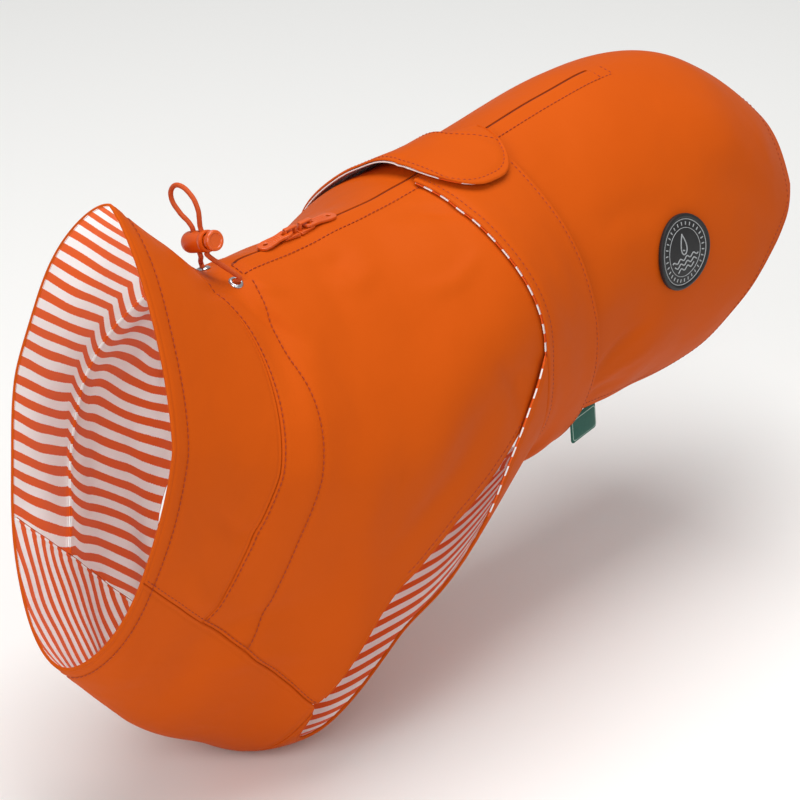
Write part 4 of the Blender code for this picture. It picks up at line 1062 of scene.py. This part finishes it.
def pull_tab(name, hinge, heading, body, node, ribs):
    """Flat moulded tab with a window for the slider's bridge, an eye near the tip, and raised ribs."""
    window = [(0.8, -1.45), (0.8, 1.45), (5.0, 1.2), (5.0, -1.2)]
    eye = [(16.0 + 1.75 * math.cos(a), 1.25 * math.sin(a)) for a in np.linspace(0, 2 * math.pi, 21)[:-1]]
    curve = bpy.data.curves.new(name, "CURVE")
    curve.dimensions, curve.fill_mode = "2D", "BOTH"
    curve.extrude, curve.bevel_depth, curve.bevel_resolution = 0.45 * MM, 0.32 * MM, 2
    for outline in (pull_outline(), window, eye):
        spline = curve.splines.new("POLY")
        spline.points.add(len(outline) - 1)
        spline.use_cyclic_u = True
        for target, (x, y) in zip(spline.points, outline):
            target.co = (x * MM, y * MM, 0, 1)
    tab = bpy.data.objects.new(name, curve)
    bpy.context.scene.collection.objects.link(tab)
    select_only(tab)
    bpy.ops.object.convert(target="MESH")
    tab = joined(name, [bpy.context.object] + [cube(size, centre, 0.28, 2) for size, centre in ribs])
    turn = Matrix.Rotation(0 if heading > 0 else math.pi, 4, "Z") @ Matrix.Rotation(math.radians(5), 4, "Y")
    return finish_part(tab, Matrix.Translation(Vector(hinge) * MM) @ turn, moulded_plastic, body, node)


SLIDERS = [("front", -80.2, -1, "front_pull_tab"), ("rear", -69.8, 1, "rear_pull_tab")]
PLATE, INNER = 1.5, 3.0
for name, x, heading, body in SLIDERS:
    floor_z = back_height(x) + 0.45
    top = floor_z + PLATE
    plate = cube((9.6, 7.0, PLATE), (x, 0, floor_z + PLATE / 2), 0.55)
    bpy.ops.object.mode_set(mode="EDIT")
    bpy.ops.mesh.select_all(action="DESELECT")
    bpy.ops.object.mode_set(mode="OBJECT")
    for vertex in plate.data.vertices:
        vertex.select = (vertex.co.x / MM - x) * heading > 2.0
    bpy.ops.object.mode_set(mode="EDIT")
    bpy.ops.transform.resize(value=(1, 0.66, 1), center_override=(x * MM, 0, 0))
    bpy.ops.object.mode_set(mode="OBJECT")
    parts = [plate, cube((8.2, 0.8, 1.6), (x, 0, floor_z - 0.5), 0.2),
             cube((1.3, 2.4, INNER + 1.2), (x - 3.4, 0, top + 1.9), 0.35),
             cube((1.3, 2.4, INNER + 1.2), (x + 3.4, 0, top + 1.9), 0.35),
             cube((8.1, 2.4, 1.2), (x, 0, top + INNER + 0.55), 0.45),
             cube((8.8, 0.8, 0.9), (x, 2.9, top + 0.1), 0.3), cube((8.8, 0.8, 0.9), (x, -2.9, top + 0.1), 0.3)]
    slider = joined(f"slider_{name}_moulding", parts)
    finish_part(slider, Matrix(), moulded_plastic, "coat", f"slider_{name}")
    if heading < 0:
        ribs = [((0.7, 4.2, 0.7), (7.0 + 1.5 * n, 0, 0.62)) for n in range(5)]
    else:
        ribs = [((8.2, 0.6, 0.7), (9.9, 1.5 * n, 0.62)) for n in (-1, 0, 1)]
    pull_tab(f"pull_{name}_moulding", (x + heading * 1.0, 0, top + 1.45), heading, body, f"pull_{name}", ribs)


# ------------------------------------------------------------------ cord lock and eyelets
# A moulded barrel with a sprung plunger: two cross holes take the cord, and pressing the head lets it run.  The
# cord ends are held behind two rolled steel eyelets in the saddle.
FAR_STRAND, NEAR_STRAND, TURNED_SIDES = 7.2, 13.4, 48
BARREL_LENGTH, HEAD_GAP, SPLIT_START, SPLIT_LENGTH = 17.0, 2.3, 5.4, 11.6
LOCK_MIDDLE = np.array([-141.0, 0.0, 17.6])
LOCK_AXIS = np.array([-0.06, -0.93, 0.36]) / np.linalg.norm([-0.06, -0.93, 0.36])
LOCK_UP = np.cross(LOCK_AXIS, [1.0, 0.0, 0.0])
LOCK_UP = LOCK_UP / np.linalg.norm(LOCK_UP) * math.copysign(1.0, LOCK_UP[2])


def lock_place(along, up):
    """Point along the lock's axis from its closed end, and up in the plane of the cord's loop, in mm."""
    return LOCK_MIDDLE + LOCK_AXIS * (along - (FAR_STRAND + NEAR_STRAND) / 2) + LOCK_UP * up


def turned(name, profile, closed=False):
    """Solid of revolution: a ring is extruded and scaled from one (radius, height) in mm to the next."""
    bpy.ops.object.select_all(action="DESELECT")
    bpy.ops.mesh.primitive_circle_add(vertices=TURNED_SIDES, radius=profile[0][0] * MM)
    piece = bpy.context.object
    piece.name = name
    bpy.ops.object.mode_set(mode="EDIT")
    bpy.ops.transform.translate(value=(0, 0, profile[0][1] * MM))
    for (radius, height), (wider, higher) in zip(profile, profile[1:]):
        bpy.ops.mesh.extrude_edges_move(TRANSFORM_OT_translate={"value": (0, 0, (higher - height) * MM)})
        ratio = wider / radius
        bpy.ops.transform.resize(value=(ratio, ratio, 1), center_override=(0, 0, higher * MM))
    bpy.ops.mesh.select_all(action="SELECT")
    if closed:
        bpy.ops.mesh.select_mode(type="EDGE")
        bpy.ops.mesh.select_all(action="DESELECT")
        bpy.ops.mesh.select_non_manifold()
        bpy.ops.mesh.bridge_edge_loops()
    else:
        bpy.ops.mesh.fill_holes(sides=0)
    bpy.ops.mesh.select_all(action="SELECT")
    bpy.ops.mesh.normals_make_consistent(inside=False)
    bpy.ops.object.mode_set(mode="OBJECT")
    return piece


def cut_away(piece, cutter):
    """Boolean difference, applied."""
    select_only(piece)
    cut = piece.modifiers.new("cut", "BOOLEAN")
    cut.operation, cut.solver, cut.object = "DIFFERENCE", "EXACT", cutter
    bpy.ops.object.modifier_apply(modifier="cut")
    bpy.data.objects.remove(cutter)


def frame_at(origin, z_axis, x_hint):
    """Place of a small part: its origin in mm, its own z axis, and roughly its x axis."""
    z_axis = Vector(z_axis).normalized()
    y_axis = z_axis.cross(Vector(x_hint)).normalized()
    turn = Matrix((y_axis.cross(z_axis), y_axis, z_axis)).transposed().to_4x4()
    return Matrix.Translation(Vector(origin) * MM) @ turn


lock_frame = frame_at(lock_place(0, 0), LOCK_AXIS, LOCK_UP)
barrel = turned("cord_lock_barrel", [
    (0.4, 0.0), (2.6, 0.05), (3.9, 0.45), (4.8, 1.3), (5.25, 2.5), (5.35, 4.0), (5.35, 13.6), (5.2, 13.8),
    (5.2, 14.2), (5.35, 14.4), (5.35, 16.5), (5.1, 17.0), (4.3, 17.1), (3.95, 16.8), (3.9, 4.0), (3.9, 1.8),
    (0.4, 1.8)])
for along in (FAR_STRAND, NEAR_STRAND):
    bpy.ops.object.select_all(action="DESELECT")
    bpy.ops.mesh.primitive_cylinder_add(vertices=24, radius=1.65 * MM, depth=16 * MM, location=(0, 0, along * MM),
                                        rotation=(0, math.pi / 2, 0))
    cut_away(barrel, bpy.context.object)
finish_part(barrel, lock_frame, moulded_plastic, "coat", "toggle_barrel")
head = BARREL_LENGTH + HEAD_GAP
plunger = turned("cord_lock_plunger_head", [
    (0.4, head + 2.5), (3.2, head + 2.6), (3.6, head + 3.05), (4.5, head + 3.0), (5.0, head + 2.5),
    (5.1, head + 1.4), (5.0, head + 0.5), (4.6, head), (3.5, head), (3.5, 4.2), (3.2, 4.0), (0.4, 4.0)])
cut_away(plunger, cube((12, 3.4, SPLIT_LENGTH), (0, 0, SPLIT_START + SPLIT_LENGTH / 2), 0.3, 1))
finish_part(plunger, lock_frame, moulded_plastic, "cord_lock_plunger", "toggle_plunger")

steel, shader = new_material("nickel_plated_steel_eyelet")
brushed = add_node(steel, "ShaderNodeTexNoise", {
    "Vector": add_node(steel, "ShaderNodeTexCoord").outputs["Object"], "Scale": 700.0, "Detail": 3.0})
gloss = add_node(steel, "ShaderNodeMapRange", {"Value": brushed.outputs["Fac"], "To Min": 0.18, "To Max": 0.36})
plug(shader, {"Base Color": linear("#C9CBCE"), "Metallic": 1.0, "Roughness": gloss.outputs[0]})
EYELET_STATION, EYELET_ARC = 2.34, 11.5
eyelet_ends = {}
for name, side in (("near", -1), ("far", 1)):
    share = float(share_at(EYELET_STATION, side * EYELET_ARC))
    spot = bare(EYELET_STATION, share)
    normal = looked_up(OUTWARD, EYELET_STATION, share)
    eyelet_ends[side] = (spot - normal * 0.9, spot + normal * 1.2, spot + normal * 4.2)
    ring = turned(f"eyelet_{name}_ring", [
        (2.1, -0.6), (2.1, 0.55), (2.25, 0.85), (2.6, 1.0), (3.1, 0.9), (3.55, 0.55), (3.85, 0.15), (3.9, 0.0),
        (3.6, -0.1), (2.9, -0.1), (2.6, -0.6)], closed=True)
    finish_part(ring, frame_at(spot + normal * 0.25, normal, (1, 0, 0)), steel, "coat", f"eyelet_{name}",
                slot="eyelet_steel")

# ------------------------------------------------------------------ drawcord
# Round elastic cord, braided over a rubber core.  It comes out of the near eyelet, goes up through the cord
# lock, round a free loop and back through the lock into the far eyelet.
CORD_DIAMETER = 2.5


def through(points, step):
    """Points close together on a smooth curve through the given ones."""
    found = []
    for index in range(len(points) - 1):
        before, here = points[max(index - 1, 0)], points[index]
        there, after = points[index + 1], points[min(index + 2, len(points) - 1)]
        count = max(1, round(float(np.linalg.norm(there - here)) / step))
        found += [on_curve(before, here, there, after, number / count) for number in range(count)]
    return found + [points[-1]]


braided_cord = small_part("braided_polyester_cord", "#CE520E", "#B84408", 900.0, 0.75, 0.35)
LOOP = [(14.6, 11), (15.6, 15.5), (15.0, 20), (12.4, 24.4), (8.6, 27.4), (4.2, 28.3), (0.2, 26.6),
        (-2.0, 23.2), (-1.4, 19), (1.6, 14.2), (5.4, 10.2)]
IN_BARREL = (-7.6, -5.2, 0, 5.2, 7.4)
route = list(eyelet_ends[-1]) + [lock_place(NEAR_STRAND, up) for up in IN_BARREL]
route += [lock_place(*point) for point in LOOP] + [lock_place(FAR_STRAND, up) for up in IN_BARREL[::-1]]
route += list(eyelet_ends[1][::-1])
cord_line, = evenly(np.array(through(route, 0.5)), 0.42)
BRAID_YARNS, BRAID_TURN = 5, 0.36


def braid(step, turn):
    """Plait of two crossing sets of yarns, as a share of the cord's radius."""
    right = np.cos(BRAID_YARNS * turn + BRAID_TURN * step)
    left = np.cos(BRAID_YARNS * turn - BRAID_TURN * step)
    return 0.955 + 0.045 * np.maximum(right, left)


drawcord = tube("braided_drawcord", cord_line, np.broadcast_to([1.0, 0.0, 0.0], cord_line.shape),
                CORD_DIAMETER / 2, CORD_DIAMETER / 2, braided_cord, sides=30, relief=braid)
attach(drawcord, "coat")
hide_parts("drawcord")

# ------------------------------------------------------------------ badge
# A black rubber patch moulded in one go and sewn to the near flank.  It carries a drawing of its own: a rain drop
# over three waves, in a ring of short dashes.
BADGE_STATION, BADGE_SHARE = 11.75, 0.435
badge_arc = -BADGE_SHARE * float(girth(BADGE_STATION, -1))
badge_ends = [bare(BADGE_STATION + half, -BADGE_SHARE) for half in (0.5, -0.5)]
badge_scale = float(np.linalg.norm(badge_ends[0] - badge_ends[1]))
badge_rubber = small_part("black_pvc_rubber", "#1B1B1D", "#121214", 250.0, 0.48, 0.15)
badge_print = small_part("grey_pvc_rubber", "#A9ABAD", "#96989A", 250.0, 0.55, 0.12)


def on_badge(x, y, height):
    """Point over the badge: x towards the tail and y up the flank, in mm."""
    at = BADGE_STATION + np.asarray(x) / badge_scale
    arc = badge_arc + np.asarray(y)
    return bare(at, share_at(at, arc), np.asarray(height, float) + 0.5)


def badge_line(name, x, y, width, height=1.3, closed=False):
    """A raised line of the badge's drawing."""
    x, y = np.broadcast_arrays(np.asarray(x, float), np.asarray(y, float))
    at = BADGE_STATION + x / badge_scale
    normals = looked_up(OUTWARD, at, share_at(at, badge_arc + y))
    return tube(name, on_badge(x, y, height), normals, 0.3, width / 2, badge_print, closed=closed, sides=8)


# Radius and height in mm, from the middle over the raised bead to the edge.
rings = [(0.05, 1.3), (4, 1.3), (8, 1.3), (12, 1.3), (15.5, 1.3), (17.2, 1.3), (17.7, 1.5), (18.0, 1.95),
         (18.4, 2.15), (19.2, 2.15), (19.7, 1.9), (20.0, 1.2), (20.0, 0.0)]
SPOKES = 72
spokes = np.arange(SPOKES) * 2 * math.pi / SPOKES
grid = np.array([on_badge(radius * np.cos(spokes), radius * np.sin(spokes), height) for radius, height in rings])
badge = mesh_object("rubber_badge", grid, between_rings(len(rings), SPOKES))
finish_part(badge, Matrix(), badge_rubber, "coat", "badge", slot="badge_rubber")

around = np.arange(120) * 2 * math.pi / 120
print_lines = [badge_line("ring", 17.0 * np.cos(around), 17.0 * np.sin(around), 0.5, 1.35, closed=True),
               badge_line("inner_ring", 12.6 * np.cos(around), 12.6 * np.sin(around), 0.35, closed=True)]
for turn in np.arange(30) * 2 * math.pi / 30:
    reach = np.linspace(13.9, 15.7, 4)
    print_lines.append(badge_line("dash", reach * math.cos(turn), reach * math.sin(turn), 0.7))
for depth in (-3.2, -5.8, -8.4):
    half = math.sqrt(11.3 ** 2 - (depth - 0.7) ** 2)
    x = np.linspace(-half, half, 60)
    print_lines.append(badge_line("wave", x, depth + 0.75 * np.sin(x * 1.15), 0.75))
drop = np.linspace(0, 2 * math.pi, 61)[:-1]
print_lines.append(badge_line("drop", 3.1 * np.sin(drop) * np.sin(drop / 2) ** 1.2, 4.2 + 5.4 * np.cos(drop),
                              0.8, closed=True))
glint = np.linspace(0.6, 1.9, 12)
print_lines.append(badge_line("glint", -1.2 * np.cos(glint), 2.6 - 1.8 * np.sin(glint), 0.6))
trim("badge_drawing", print_lines)

# ------------------------------------------------------------------ side label
# A folded satin-woven label in bottle green with a pale woven border, caught in the near lower edge behind the
# belt.  Both faces are otherwise plain.
label_satin = small_part("green_satin_label_weave", "#005C4C", "#004C3F", 800.0, 0.62, 0.25)
border_yarn = small_part("pale_green_border_yarn", "#A9C4B8", "#98B5A8", 800.0, 0.6, 0.25)
LABEL_WIDTH, LABEL_HEIGHT, LABEL_HALF, LABEL_FORWARD, LABEL_DROP = 25.6, 13.2, 0.5, 2.6, 8.95
label_ats = np.array([10.08, 10.62])
label_ends = bare(label_ats, -np.interp(label_ats, *upper_rear), -0.6)
label_middle = label_ends.mean(0) - np.array([LABEL_FORWARD, 0, LABEL_DROP])
label_frame = frame_at(label_middle, (0, 0.10, 1), unit(label_ends[1] - label_ends[0]))
label_turn = np.array(label_frame.to_3x3())


def label_outline(inset, corner, top):
    """Points in mm round the label, inset from its edge."""
    x, low, high = LABEL_WIDTH / 2 - inset - corner, inset + corner - LABEL_HEIGHT / 2, LABEL_HEIGHT / 2 - top
    corners = [(x, low, -90), (x, high - corner, 0), (-x, high - corner, 90), (-x, low, 180)]
    angles = [(x, z, math.radians(start + a)) for x, z, start in corners for a in (0, 22.5, 45, 67.5, 90)]
    return np.array([(x + corner * math.cos(angle), z + corner * math.sin(angle)) for x, z, angle in angles])


def on_label(x, z, out):
    """Point of the hanging label, which bows slightly: out is from its middle towards the viewer's side."""
    bow = 0.9 * np.cos(x * math.pi / LABEL_WIDTH) * smooth((6 - z) / 12)
    return np.stack([x, -np.asarray(out) - bow, z], -1) @ label_turn.T + label_middle


outline = label_outline(0, 2.0, -1.5)
face_rings = [(0.02, 1.0), (0.5, 1.0), (0.94, 1.0), (1.0, 0.4), (1.0, -0.4), (0.94, -1.0), (0.5, -1.0),
              (0.02, -1.0)]
layers = np.array([on_label(outline[:, 0] * k, outline[:, 1] * k, LABEL_HALF * level) for k, level in face_rings])
label = mesh_object("woven_label", layers, between_rings(len(layers), len(outline)))
finish_part(label, Matrix(), label_satin, "coat", "side_label", slot="label_weave")
border = label_outline(1.3, 1.4, 0.6)
borders = []
for side in (1, -1):
    points = on_label(border[:, 0], border[:, 1], side * LABEL_HALF)
    normals = np.broadcast_to(label_turn @ np.array([0, -side, 0]), points.shape)
    borders.append(tube("border", points, normals, 0.12, 0.28, border_yarn, closed=True, sides=6))
trim("label_border", borders)

# ------------------------------------------------------------------ light on the linings
# The striped lining is lit by itself, by one more soft lamp beside the camera that falls on the linings alone.
# It is slightly cool against the orange that the cloth throws on itself, so the white stripes stay white.
lining_lamp = hang(Lamp("lining_softbox", (-1.35, -0.75, 0.62), (-0.2, 0.0, -0.05), 0.4, 11))
lining_lamp.data.color = (0.82, 1.0, 1.0)
striped_pieces = bpy.data.collections.new("striped_pieces")
for piece in linings:
    striped_pieces.objects.link(piece)
lining_lamp.light_linking.receiver_collection = striped_pieces
